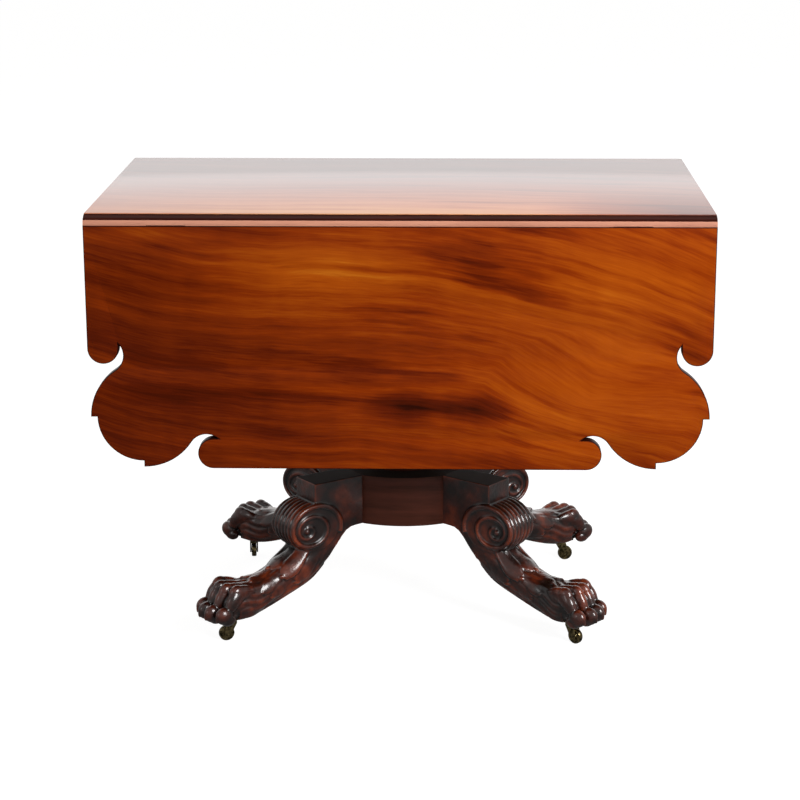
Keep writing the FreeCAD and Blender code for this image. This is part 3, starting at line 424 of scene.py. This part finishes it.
leaf_wood = mahogany("figured_mahogany_leaf", 0, 2, LEAF_STOPS, bend=0.36, zone=0.14,
                     patches=[on_leaf(*spot) for spot in LEAF_SPOTS], swirls=[on_leaf(*LEAF_SWIRL)],
                     shine=1.11, coat=0.3)
top_wood = mahogany("figured_mahogany_top", 0, 1, TOP_STOPS, bend=0.2,
                    patches=[on_top(*spot) for spot in TOP_SPOTS_WITH_SHEEN], contrast=0.45, gloss=0.3,
                    shine=1.5)
# Painted shade on the edges and the quirk.
shaded_edge_wood = mahogany("painted_shade_edge", 0, 2, SHADED_EDGE_STOPS, gloss=0.3, shine=1.12, coat=0.3)
# Painted highlight along the rule joint's moulding.
moulding_painted_highlight = mahogany("rule_joint_painted_highlight", 0, 1, MOULDING_HIGHLIGHT_STOPS, contrast=0.4, gloss=0.32,
                         shine=1.35)


# %% [markdown]
# ## The case and the base
# The frame's ends and the drawer front are cut from straighter wood. The column and the platform
# carry an old, dark polish that has lost its gloss.

# %% The case and the base
BASE_STOPS = [(0.0, "#241110"), (1.0, "#7a4032"), (0.35, "#452319"), (0.65, "#643528")]

case_wood = mahogany("straight_mahogany", 0, 2, LEAF_STOPS, contrast=0.7, shine=1.2, coat=0.5)
base_wood = mahogany("dark_mahogany", 0, 2, BASE_STOPS, contrast=0.7, gloss=0.3, shine=1.22,
                     coat=0.3)


# %% [markdown]
# ## Carved mahogany
# The carved legs carry many coats of dark polish, and hands and dusters have worn the ridges back to warm
# red-brown. The hollows are painted darker, as shade. The carving's own depth, kept on each point, drives both.
# The coat is strong here, since the highlights on the paws are sharp.

# %% Carved mahogany
CARVED_STOPS = [(0.22, "#070303"), (0.95, "#964420"), (0.4, "#190906"), (0.56, "#40170c"),
                (0.72, "#6e2c14")]
# Painted shade: how much darker the hollows are, by their depth.
HOLLOW_PAINTED_SHADE = -0.3
# How often each pattern repeats in a metre, and its detail
BLOTCHES = (26.0, 3.0)
KNIFE_CUTS = (75.0, 2.0)
PORES = (240.0, 3.0)

carved_wood, tree, shader = finish_of("carved_mahogany")
place = position(tree)
hollow = add(tree, "ShaderNodeAttribute", attribute_name="hollow").outputs["Fac"]
# The colour darkens with each hollow's depth, as painted shade, and lightens on the worn ridges.
tone = weighted(tree, noise(tree, place, *BLOTCHES), hollow, HOLLOW_PAINTED_SHADE)
coloured(tree, shader, tone, CARVED_STOPS)
bumped(tree, shader, (noise(tree, place, *KNIFE_CUTS), 0.5, 0.004),
       (noise(tree, place, *PORES), 0.3, 0.0006))
adjust(shader, {"Roughness": 0.3, "IOR": 1.3, "Coat Weight": 1.0, "Coat Roughness": 0.17,
                "Coat IOR": 1.5})


# %% [markdown]
# ## Plain woods and metals
# The frame inside is poplar and oak, planed and left bare. The undersides of the leaves were never polished. The
# tops of the platform and of the leg blocks are painted dark, as the shade under the leaves. The hinges and screws
# are dark iron, and the casters are old brass.

# %% Plain woods and metals
FIBRES = (6, 160, 160)
FIBRE_BUMP = (0.3, 0.0003)
METAL_BLOTCHES = (180.0, 5.0)
METAL_BUMP = (0.2, 0.0004)


def bare_wood(name, stops):
    """Planed wood without a finish: fine fibres along X."""
    material, tree, shader = finish_of(name)
    fibres = noise(tree, stretched(tree, position(tree), FIBRES), 1.0, 4.0)
    coloured(tree, shader, fibres, stops)
    bumped(tree, shader, (fibres, *FIBRE_BUMP))
    adjust(shader, {"Roughness": 0.65})
    return material


def old_metal(name, stops, roughness):
    """Metal with the blotches of age, a few millimetres wide."""
    material, tree, shader = finish_of(name)
    blotches = noise(tree, position(tree), *METAL_BLOTCHES)
    coloured(tree, shader, blotches, stops)
    bumped(tree, shader, (blotches, *METAL_BUMP))
    adjust(shader, {"Metallic": 1.0, "Roughness": roughness})
    return material


poplar = bare_wood("planed_poplar", [(0.3, "#a88e62"), (0.7, "#c9b183")])
oak = bare_wood("planed_oak", [(0.3, "#8a6b42"), (0.7, "#b59363")])
iron = old_metal("wrought_iron", [(0.3, "#1c1815"), (0.7, "#39322d")], 0.5)
brass = old_metal("aged_brass", [(0.35, "#2a2618"), (0.7, "#a08f66")], 0.28)
raw_mahogany = bare_wood("unpolished_mahogany", [(0.3, "#4c2010"), (0.7, "#83452a")])
# Painted shade: a dark unpolished finish for the tops of the platform and the leg blocks, which lie in shade.
painted_shade_mahogany = bare_wood("painted_shade_dark_mahogany", [(0.3, "#0c0605"), (0.7, "#1d100b")])


# %% [markdown]
# ## Finishes on the construction pieces
# The record names a kind of material for every piece. Each kind has one finish here, so a piece that keeps its
# plain shape only has to be dressed. The top differs from the leaves, because its paler colour is partly a painted
# sheen.

# %% Finishes on the construction pieces
FINISHES = {"mahogany_top": leaf_wood, "mahogany_case": case_wood, "mahogany_base": base_wood,
            "poplar": poplar, "oak": oak, "wrought_iron": iron, "cast_brass": brass}
SLOTS = {part["node"]: part["material_slot"] for part in frame["record"]["subparts"]}


def dress(piece, material):
    """The piece keeps its shape and takes one material."""
    piece.data.materials.clear()
    piece.data.materials.append(material)


for node, slot_name in SLOTS.items():
    dress(frame["nodes"][node], FINISHES[slot_name])
dress(frame["nodes"]["center_top"], top_wood)
print("finishes:", len(bpy.data.materials))


# %% [markdown]
# ## From a mesh to a piece
# Every new shape is a bmesh first. One function closes it, gives it its finish and lets it ride
# on the same body as the construction piece that it stands for.

# %% From a mesh to a piece
MM = 0.001
MERGE = 0.00001


def piece(name, bm, materials, body, *nodes, crease=35):
    """Turns a finished bmesh into a piece: edges sharper than crease stay crisp."""
    bmesh.ops.remove_doubles(bm, verts=bm.verts, dist=MERGE)
    bmesh.ops.recalc_face_normals(bm, faces=bm.faces)
    for face in bm.faces:
        face.smooth = True
    for edge in bm.edges:
        if len(edge.link_faces) == 2:
            edge.smooth = edge.calc_face_angle() < math.radians(crease)
    mesh = bpy.data.meshes.new(name)
    bm.to_mesh(mesh)
    bm.free()
    for material in materials:
        mesh.materials.append(material)
    made = bpy.data.objects.new(name, mesh)
    scene.collection.objects.link(made)
    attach(made, body)
    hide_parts(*nodes)
    return made


# %% [markdown]
# ## Worn edges
# A table that has been waxed for two hundred years has no sharp corners left. The boards are
# copies of the construction pieces with their long corners rounded by about a millimetre, which
# is where the light catches.

# %% Worn edges
SAME_PLANE = math.radians(0.5)
SHARP = math.radians(40)
FACING = 0.95


def board_copy(node):
    """The construction piece's own mesh, merged, with flat faces in one piece again."""
    bm = bmesh.new()
    bm.from_mesh(frame["nodes"][node].data)
    bmesh.ops.remove_doubles(bm, verts=bm.verts, dist=MERGE)
    bmesh.ops.dissolve_limit(bm, angle_limit=SAME_PLANE, verts=bm.verts, edges=bm.edges)
    return bm


def rounded(bm, radius, wanted=lambda vert: True):
    """Rounds the sharp edges whose two ends are both wanted, and counts them."""
    sharp = [edge for edge in bm.edges if len(edge.link_faces) == 2
             and edge.calc_face_angle() > SHARP and all(wanted(vert) for vert in edge.verts)]
    bmesh.ops.bevel(bm, geom=sharp, offset=radius, offset_type="OFFSET", segments=2,
                    profile=0.5, affect="EDGES", material=-1, clamp_overlap=True)
    return len(sharp)


# %% [markdown]
# ## The leaves
# A leaf has three finishes: polish on its face, a darker colour on the sawn edges, which is painted shade, and
# bare wood behind. A face's direction says which one it takes.

# %% The leaves
EDGE_ROUND = 0.0015

for side_name in ("front", "rear"):
    node = f"{side_name}_leaf"
    bm = board_copy(node)
    low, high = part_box(node)
    outer = low.y if side_name == "front" else high.y
    count = rounded(bm, EDGE_ROUND, lambda vert: abs(vert.co.y - outer) < MERGE)
    outwards = 1 if outer > 0 else -1
    for face in bm.faces:
        facing = face.normal.y * outwards
        # Faces across the board take the edges' painted shade.
        face.material_index = 0 if facing > FACING else 2 if facing < -FACING else 1
    piece(f"{node}_board", bm, [leaf_wood, shaded_edge_wood, raw_mahogany], node, node)
    print(node, "edges rounded:", count)


# %% [markdown]
# ## The centre top
# The rule joint's moulding catches the light along its whole length, and its pale colour is a painted highlight.
# The small step above it, the quirk, is painted dark as shade. The ends show straight wood, and the underside was
# never polished.

# %% The centre top
TOP_LOW = 0.7286
QUIRK_LOW = 0.7212
TOP_FINISHES = [top_wood, moulding_painted_highlight, raw_mahogany, shaded_edge_wood, case_wood]


def top_finish(face):
    """The finish of one face of the top, from its height and its direction."""
    height = face.calc_center_median().z
    if face.normal.z < -FACING:
        return raw_mahogany
    if height > TOP_LOW:
        return top_wood
    if abs(face.normal.x) > 0.5:
        return case_wood
    # The quirk takes the painted shade, and the moulding below it a painted highlight.
    return shaded_edge_wood if height > QUIRK_LOW else moulding_painted_highlight


bm = board_copy("center_top")
low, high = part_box("center_top")
count = rounded(bm, EDGE_ROUND, lambda vert: abs(vert.co.z - high.z) < MERGE)
for face in bm.faces:
    face.material_index = TOP_FINISHES.index(top_finish(face))
piece("top_board", bm, TOP_FINISHES, "root", "center_top")
print("top edges rounded:", count)


# %% [markdown]
# ## The platform
# The platform's upper and lower outlines are rounded, and the mortise for the column near its middle stays sharp.
# Its top is painted dark, as the shade that falls under the leaves.

# %% The platform
PLATFORM_ROUND = 0.0008
MORTISE_REACH = 0.07

bm = board_copy("platform")
low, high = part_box("platform")
count = rounded(bm, PLATFORM_ROUND,
                lambda vert: min(abs(vert.co.z - low.z), abs(vert.co.z - high.z)) < MERGE
                and vert.co.xy.length > MORTISE_REACH)
for face in bm.faces:
    # Faces that look up take the painted shade.
    face.material_index = 1 if face.normal.z > FACING else 0
piece("bowed_platform", bm, [base_wood, painted_shade_mahogany], "root", "platform")
print("platform edges rounded:", count)


# %% [markdown]
# ## The carved legs
# Each leg is one block of mahogany: a flat block against the platform, a scroll across its head,
# an acanthus leaf over the shank, and a lion's paw. A carver rounds rough masses into each other,
# so the leg is built the same way. Swept tubes, lumps and slabs come first, drawn in millimetres
# along the X axis, and a later step joins them as one skin.

# %% A smooth line through stations
def smooth_line(stations, steps):
    """More stations on a smooth line through the given ones."""
    line = []
    last = len(stations) - 1
    for number in range(last):
        before, start, end, after = (stations[min(max(number + shift, 0), last)]
                                     for shift in (-1, 0, 1, 2))
        for step in range(steps):
            t = step / steps
            line.append([0.5 * (2 * b + (c - a) * t + (2 * a - 5 * b + 4 * c - d) * t * t
                                + (3 * b - a - 3 * c + d) * t * t * t)
                         for a, b, c, d in zip(before, start, end, after)])
    return line + [list(stations[last])]


# %% [markdown]
# A tube is a row of rings, bridged into a skin and closed at both ends. A ring can be oval or
# have fuller corners, and it can carry fine ridges that wander a little from ring to ring, as cut
# hair does.

# %% Tubes
OVAL = 2
RIDGE_WANDER = (2.5, 0.21)


def sweep(bm, stations, segments=16, ridges=0, depth=0.0):
    """A closed tube through stations of x, y, z, half height and half width, in millimetres.
    A sixth number is 2 for an oval section and more for one with fuller corners. Three more
    give the direction that the half height follows."""
    places = [Vector(station[:3]) * MM for station in stations]
    last = len(places) - 1
    rings = []
    for number, station in enumerate(stations):
        square = station[5] if len(station) > 5 else OVAL
        ahead = (places[min(number + 1, last)] - places[max(number - 1, 0)]).normalized()
        if len(station) > 6:
            side = ahead.cross(Vector(station[6:9])).normalized()
        else:
            side = Vector((0, 1, 0)) if abs(ahead.y) < 0.9 else Vector((1, 0, 0))
            side = (side - ahead * side.dot(ahead)).normalized()
        upwards = side.cross(ahead)
        wander = RIDGE_WANDER[0] * math.sin(number * RIDGE_WANDER[1])
        ring = bmesh.ops.create_circle(bm, segments=segments, radius=1)["verts"]
        for vert in ring:
            angle = math.atan2(vert.co.y, vert.co.x)
            over, out = abs(math.cos(angle)), abs(math.sin(angle))
            reach = (over ** square + out ** square) ** (-1 / square)
            vert.co *= reach * (1 + depth * math.cos(ridges * angle + wander))
        across = Matrix((side * station[4] * MM, upwards * station[3] * MM, ahead)).transposed()
        bmesh.ops.transform(bm, matrix=Matrix.Translation(places[number]) @ across.to_4x4(),
                            verts=ring)
        rings.append(list({edge for vert in ring for edge in vert.link_edges}))
    for one, two in zip(rings, rings[1:]):
        bmesh.ops.bridge_loops(bm, edges=one + two)
    for end in (rings[0], rings[-1]):
        bmesh.ops.holes_fill(bm, edges=end, sides=segments)


# %% [markdown]
# A lump is a stretched ball, and a slab is a flat outline with a thickness.

# %% Lumps and slabs
def placed(centre, turn, reach):
    """A matrix that stretches a unit shape to its reach, turns it and moves it, in millimetres."""
    return (Matrix.Translation(Vector(centre) * MM) @ turn
            @ Matrix.Diagonal((*(Vector(reach) * MM), 1)))


def lump(bm, centre, reach, tilt=0.0):
    """A rounded lump, tilted in the plane of the leg."""
    place = placed(centre, Matrix.Rotation(math.radians(tilt), 4, "Y"), reach)
    bmesh.ops.create_icosphere(bm, subdivisions=3, radius=1, matrix=place)


def slab(bm, outline, half):
    """A flat outline in the plane of the leg, given its thickness."""
    corners = [bm.verts.new((x * MM, -half * MM, z * MM)) for x, z in outline]
    face = bm.faces.new(corners)
    grown = bmesh.ops.extrude_face_region(bm, geom=[face])["geom"]
    moved = [item for item in grown if isinstance(item, bmesh.types.BMVert)]
    bmesh.ops.translate(bm, vec=(0, 2 * half * MM, 0), verts=moved)


# %% [markdown]
# The block and the scroll come first. The scroll is an oval drum across the leg, with ribs over
# its rounded front.

# %% Block, drum and ribs
BLOCK = [(104, 249), (201, 249), (201, 205), (218, 165), (205, 128), (185, 112), (176, 116.5),
         (160, 134.5), (147, 150), (138, 158.5), (128, 163), (104, 164)]
BLOCK_HALF = 29
DRUM = (201, 174.5)
DRUM_REACH = (47, 40)
DRUM_HALF = 30
RIBS = (-20, -10, 0, 10, 20)
RIB_SECTION = (2.8, 4.2)
RIB_ANGLES = [-95 + 7.5 * step for step in range(25)]


def drum(bm):
    """Oval drum across the leg, with its ribs."""
    place = placed((DRUM[0], 0, DRUM[1]), Matrix.Rotation(math.radians(90), 4, "X"),
                   (*DRUM_REACH, DRUM_HALF))
    bmesh.ops.create_cone(bm, cap_ends=True, segments=64, radius1=1, radius2=1, depth=2,
                          matrix=place)
    for rib in RIBS:
        hoop = []
        for angle in RIB_ANGLES:
            turn = math.radians(angle)
            hoop.append((DRUM[0] + DRUM_REACH[0] * math.cos(turn), rib,
                         DRUM[1] + DRUM_REACH[1] * math.sin(turn), *RIB_SECTION))
        sweep(bm, hoop, 10)


# %% [markdown]
# A spiral bead winds over both faces of the drum, in towards an eye, and gets thinner on its way.

# %% Spiral
SPIRAL_TURNS = 2.3
SPIRAL_STEPS = 36
SPIRAL_ANGLE = 200
SPIRAL_START = Vector((201.5, 174.5))
SPIRAL_END = Vector((219, 171))
# Reach along, reach up and thickness, at the start and at the eye
SPIRAL_OUTSIDE = (51, 42.5, 4.8)
SPIRAL_INSIDE = (7, 6, 2.6)
BEAD_WIDTH = 1.1
BEAD_SUNK = 0.6
EYE = (5.5, 5, 5.5)


def spirals(bm):
    """A spiral bead and its eye on each face of the drum."""
    steps = round(SPIRAL_TURNS * SPIRAL_STEPS)
    for face in (-1, 1):
        bead = []
        for step in range(steps + 1):
            share = step / steps
            angle = math.radians(SPIRAL_ANGLE - 360 * SPIRAL_TURNS * share)
            middle = SPIRAL_START.lerp(SPIRAL_END, share)
            along, rise, thick = (start * (1 - share) + end * share
                                  for start, end in zip(SPIRAL_OUTSIDE, SPIRAL_INSIDE))
            bead.append((middle.x + along * math.cos(angle), face * (DRUM_HALF - BEAD_SUNK),
                         middle.y + rise * math.sin(angle), thick, thick * BEAD_WIDTH))
        sweep(bm, bead, 10)
        lump(bm, (SPIRAL_END.x, face * DRUM_HALF, SPIRAL_END.y), EYE)


# %% [markdown]
# The shank swells out of the block and thins to the ankle, with fine ridges for the lion's hair.
# One helper finds a point on its surface, so the leaf can be laid over it.

# %% Shank
# Along and up the leg, half height, half width, and how full the section's corners are
SHANK = [(160, 172, 25, 29, 9), (178, 152, 27, 29, 9), (196, 131, 27.5, 28.8, 8),
         (215, 112, 27.5, 28.2, 6), (240, 95.5, 27, 27.2, 4.2), (266, 85, 26, 26.5, 3.2),
         (292, 77, 26.5, 27, 2.8), (314, 71, 29, 30, 3.2), (334, 68, 29.2, 33, 4.2),
         (352, 68, 29, 33, 4.2)]
RIDGES = 15
RIDGE_DEPTH = 0.022
shank_line = smooth_line([(x, 0, z, high, wide, full) for x, z, high, wide, full in SHANK], 8)


def on_shank(share, angle, lift):
    """A point on the shank and its outward direction: share runs from block to ankle, angle from
    the top round to one side, and lift is how far the point stands out."""
    along = min(max(share, 0), 1) * (len(shank_line) - 2)
    number = int(along)
    here, next_one = shank_line[number], shank_line[number + 1]
    ahead = (Vector(next_one[:3]) - Vector(here[:3])).normalized()
    x, y, z, high, wide, full = [a + (b - a) * (along - number) for a, b in zip(here, next_one)]
    upwards = Vector((-ahead.z, 0, ahead.x))
    sideways = Vector((0, 1, 0))
    over, out = math.cos(math.radians(angle)), math.sin(math.radians(angle))
    reach = (abs(over) ** full + abs(out) ** full) ** (-1 / full)
    place = (Vector((x, y, z)) + upwards * (high * reach + lift) * over
             + sideways * (wide * reach + lift) * out)
    return place, (upwards * over + sideways * out).normalized()


# %% [markdown]
# The acanthus lies over the shank's upper half: broad flat lobes that spread from the spine, each
# with a tip that curls up. A fine bead follows the lower edge on each side.

# %% Acanthus
# Each lobe: its points as share, angle and lift, then its half thickness at root, middle and tip
LOBES = [
    ([(0.24, 0, -4), (0.38, 0, -2.5), (0.49, 0, -1), (0.57, 0, 0.5)], (13, 20, 9)),
    ([(0.24, 38, -4), (0.36, 46, -3), (0.46, 54, -1.5), (0.54, 62, 0)], (11, 15, 8)),
    ([(0.20, 82, -4), (0.30, 90, -3), (0.39, 98, -1.5), (0.46, 110, -0.5)], (12, 17, 9)),
    ([(0.42, 86, -4), (0.52, 92, -3), (0.60, 100, -1.5), (0.66, 110, -0.5)], (9, 12, 7)),
    ([(0.52, 50, -3.5), (0.60, 58, -2.5), (0.67, 66, -1.5), (0.73, 74, -0.5)], (8, 11, 6)),
    ([(0.58, 12, -3.5), (0.66, 16, -2.5), (0.73, 20, -1.5), (0.79, 24, 0)], (8, 11, 6)),
]
LOBE_FLATNESS = 0.34
LOBE_TIP = (0.8, 0.5, 0.5)
BEAD = [(0.26, 140, -1), (0.38, 142, 0), (0.55, 144, 0), (0.75, 148, -0.5), (0.9, 150, -1.5)]
BEAD_HALF = 2.8


def acanthus(bm):
    """Leaf lobes on both sides of the shank, and a bead along each lower edge."""
    for side in (-1, 1):
        for points, (root, middle, tip) in LOBES:
            places = [on_shank(share, side * angle, lift) for share, angle, lift in points]
            sizes = (root, (root + middle) / 2, middle, tip)
            line = [(*place, size * LOBE_FLATNESS, size, OVAL, *outwards)
                    for (place, outwards), size in zip(places, sizes)]
            sweep(bm, smooth_line(line, 5), 18)
            lump(bm, places[-1][0], [tip * share for share in LOBE_TIP])
        line = [(*on_shank(share, side * angle, lift)[0], BEAD_HALF, BEAD_HALF)
                for share, angle, lift in BEAD]
        sweep(bm, smooth_line(line, 6), 10)


# %% [markdown]
# The paw has four toes on a pad. Each is a hair-covered ridge, a knuckle, a rounded end and a
# claw, and the two outer toes stand a little further back. A slab below them meets the caster's
# plate.

# %% Paw
PAD = ((348, 0, 68), (34, 34, 29))
PLATE_SEAT = [(331, 62), (332, 42), (371, 42), (376, 62)]
PLATE_SEAT_HALF = 19
# Each toe: its place in the row and how far back it stands
TOES = ((-1.5, 9.0), (-0.5, 0.0), (0.5, 0.0), (1.5, 9.0))
TOE_PITCH = 19.0
SPLAY = 0.06
# The parts of a toe: x, how much of the setback counts, how wide the row is there, how much it
# splays, and z. A ridge or a claw then has its half height and half width.
RIDGE = [(318, 0, 0.72, 0, 84, 7, 6), (338, 0.4, 0.88, 0, 88, 11, 8.5),
         (360, 1, 0.97, 0, 88, 14, 9.6), (373, 1, 1, SPLAY, 79, 12, 9.4),
         (381, 1, 1, SPLAY, 66, 9, 8.2)]
CLAW = [(397, 1, 1, SPLAY, 60, 5, 4.6), (403, 1, 1, SPLAY, 54, 4.6, 4.0),
        (403.5, 1, 1, SPLAY, 48, 2.8, 2.4)]
# The knuckle, the toe's end and its sole: the same five numbers, then reach and tilt
TOE_LUMPS = [((364, 1, 0.97, 0, 90), (14.5, 9.8, 14), 20),
             ((391, 1, 1, SPLAY, 57), (16, 10.8, 15), -12),
             ((384, 1, 1, SPLAY, 49), (14, 9.8, 11), 0)]


def on_toe(toe, x, setback, width, splay, z):
    """A point of one toe, in millimetres."""
    place, back = toe
    return x - back * setback, place * TOE_PITCH * (width + splay * abs(place)), z


def paw(bm):
    """Lion's paw of four toes on a pad."""
    lump(bm, *PAD)
    slab(bm, PLATE_SEAT, PLATE_SEAT_HALF)
    for toe in TOES:
        ridge = [(*on_toe(toe, *station[:5]), *station[5:]) for station in RIDGE]
        sweep(bm, smooth_line(ridge, 4), 20)
        for place, reach, tilt in TOE_LUMPS:
            lump(bm, on_toe(toe, *place), reach, tilt)
        claw = [(*on_toe(toe, *station[:5]), *station[5:]) for station in CLAW]
        sweep(bm, smooth_line(claw, 4), 12)


# %% [markdown]
# The masses now become one skin. A voxel remesh makes faces of one even size, small enough to
# keep the ridges, and a few rounds of smoothing take off its steps.

# %% Carved skin
VOXEL = 0.0012
SKIN_ROUNDS = 3


def smoothed(bm, rounds):
    """Moves every point towards the middle of its neighbours, round after round."""
    for _ in range(rounds):
        bmesh.ops.smooth_vert(bm, verts=bm.verts, factor=0.5, use_axis_x=True, use_axis_y=True,
                              use_axis_z=True)


def one_skin(rough_bm):
    """Joins rough masses into a single skin with faces of one size."""
    mesh = bpy.data.meshes.new("rough_leg")
    rough_bm.to_mesh(mesh)
    rough_bm.free()
    rough = bpy.data.objects.new("rough_leg", mesh)
    scene.collection.objects.link(rough)
    skin = rough.modifiers.new("skin", "REMESH")
    skin.mode = "VOXEL"
    skin.voxel_size = VOXEL
    bpy.context.view_layer.update()
    depsgraph = bpy.context.evaluated_depsgraph_get()
    made = bpy.data.meshes.new_from_object(rough.evaluated_get(depsgraph))
    bpy.data.objects.remove(rough)
    bm = bmesh.new()
    bm.from_mesh(made)
    smoothed(bm, SKIN_ROUNDS)
    return bm


# %% [markdown]
# The sole has a shallow recess that clears the caster's plate. How far each point lies below a much smoother skin
# is kept as an attribute, so the colour can be painted darker in the hollows, as shade, and lighter on the worn
# ridges.

# %% Recess and hollows
SOLE = 0.042
SOLE_START = 0.3315
SOLE_END = 0.369
SOLE_HALF = 0.0182
HOLLOW_ROUNDS = 12


def recess(bm):
    """Lifts the sole over the caster's plate."""
    for vert in bm.verts:
        x, y, z = vert.co
        if z < SOLE and SOLE_START < x < SOLE_END and abs(y) < SOLE_HALF:
            vert.co.z = SOLE


def mark_hollows(bm):
    """Keeps on each point how far it lies below a much smoother skin, in millimetres."""
    bm.normal_update()
    kept = [(vert.co.copy(), vert.normal.copy()) for vert in bm.verts]
    smoothed(bm, HOLLOW_ROUNDS)
    hollow = bm.verts.layers.float.new("hollow")
    for vert, (place, normal) in zip(bm.verts, kept):
        vert[hollow] = (vert.co - place).dot(normal) / MM
        vert.co = place


# %% [markdown]
# The leg is carved once along the X axis and turned into its four places. It has about a hundred
# thousand points, so four separate carvings would cost time and add nothing.

# %% Four legs
BLOCK_TOP = 0.2475
LEG_ANGLE = 36.5

rough_leg = bmesh.new()
slab(rough_leg, BLOCK, BLOCK_HALF)
drum(rough_leg)
spirals(rough_leg)
sweep(rough_leg, shank_line, 90, RIDGES, RIDGE_DEPTH)
acanthus(rough_leg)
paw(rough_leg)
bmesh.ops.recalc_face_normals(rough_leg, faces=rough_leg.faces)
pattern = one_skin(rough_leg)
recess(pattern)
mark_hollows(pattern)
print("points in a leg:", len(pattern.verts))

for side_name, side in (("front", -1), ("rear", 1)):
    for end_name, end in (("left", -1), ("right", 1)):
        angle = side * LEG_ANGLE if end > 0 else 180 - side * LEG_ANGLE
        bm = pattern.copy()
        bmesh.ops.rotate(bm, matrix=Matrix.Rotation(math.radians(angle), 3, "Z"), verts=bm.verts)
        for face in bm.faces:
            # The block's top faces, in shade under the leaves, take the painted shade.
            unpolished = face.normal.z > FACING and face.calc_center_median().z > BLOCK_TOP
            face.material_index = 1 if unpolished else 0
        node = f"{side_name}_{end_name}_leg"
        piece(f"{node}_carved", bm, [carved_wood, painted_shade_mahogany], "root", node, crease=180)
pattern.free()


# %% [markdown]
# ## Turned parts
# The column and the knobs come off a lathe, so each is a profile spun about its own axis.

# %% The lathe and the column
COLUMN = [(0, 194), (24, 194), (24, 249), (62, 249), (62, 273), (60, 276), (55, 278), (48, 284),
          (41, 293), (36, 305), (34, 318), (37, 333), (45, 353), (53, 374), (57, 394), (55.5, 415),
          (49, 439), (39, 460), (30, 473), (27, 477), (27, 479), (33, 481), (37, 484), (38, 487),
          (37, 490), (33, 493), (27, 495), (27, 499), (28.5, 515), (33, 535), (41, 552), (51, 564),
          (58, 570), (58, 594), (24, 594), (24, 616), (0, 616)]


def lathe(bm, profile, centre, axis, steps=64):
    """Spins a profile of radius and rise, in millimetres, about an axis through centre."""
    turn = Vector((0, 0, 1)).rotation_difference(Vector(axis)).to_matrix().to_4x4()
    place = Matrix.Translation(Vector(centre)) @ turn
    verts = [bm.verts.new((radius * MM, 0, rise * MM)) for radius, rise in profile]
    edges = [bm.edges.new(pair) for pair in zip(verts, verts[1:])]
    bmesh.ops.spin(bm, geom=verts + edges, cent=(0, 0, 0), axis=(0, 0, 1), angle=math.tau,
                   steps=steps, use_merge=True)
    bmesh.ops.transform(bm, matrix=place, verts=bm.verts)


bm = bmesh.new()
lathe(bm, COLUMN, (0, 0, 0), (0, 0, 1))
piece("turned_column", bm, [base_wood], "root", "column", crease=30)


# %% [markdown]
# The drawer and the sham front at the other end have the same knob. Its profile starts at the
# foot of its spigot, inside the front, and ends at the middle of its face.

# %% Knobs
KNOB = [(0, -14), (5, -14), (5, 0), (9, 0), (9, 1.5), (7.6, 3.5), (7, 7.8), (8.4, 11),
        (11.8, 13.2), (14.2, 15.8), (15, 18.7), (14.3, 21.4), (11.8, 23.8), (7, 25.6), (0, 26)]
KNOB_RISE = 26
SMALL_STEPS = 40

for node, body, end in (("drawer_knob", "drawer", 1), ("sham_drawer_knob", "root", -1)):
    low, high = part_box(node)
    front = high.x if end > 0 else low.x
    foot = (front - end * KNOB_RISE * MM, (low.y + high.y) / 2, (low.z + high.z) / 2)
    bm = bmesh.new()
    lathe(bm, KNOB, foot, (end, 0, 0), SMALL_STEPS)
    piece(f"turned_{node}", bm, [case_wood], body, node, crease=30)


# %% [markdown]
# ## Casters
# Each wheel is cast brass with a rounded tread, sunk cheeks and a raised hub. The fork is filed
# from a casting, so its corners are soft.

# %% Casters
WHEEL = [(1.65, -4.5), (5, -4.5), (5.6, -3.6), (9.6, -3.4), (10.6, -4.3), (12, -4.1), (12.8, -3),
         (13, -1.5), (13, 1.5), (12.8, 3), (12, 4.1), (10.6, 4.3), (9.6, 3.4), (5.6, 3.6),
         (5, 4.5), (1.65, 4.5), (1.65, -4.5)]
FORK_ROUND = 0.0005

for joint in frame["joints"]:
    if joint["name"].endswith("_caster_roll"):
        corner = joint["name"].removesuffix("_roll")
        bm = bmesh.new()
        lathe(bm, WHEEL, joint["pos_m"], joint["axis"], SMALL_STEPS)
        piece(f"{corner}_brass_wheel", bm, [brass], f"{corner}_wheel", f"{corner}_wheel", crease=40)
        bm = board_copy(f"{corner}_fork")
        rounded(bm, FORK_ROUND)
        piece(f"{corner}_filed_fork", bm, [brass], f"{corner}_fork", f"{corner}_fork")
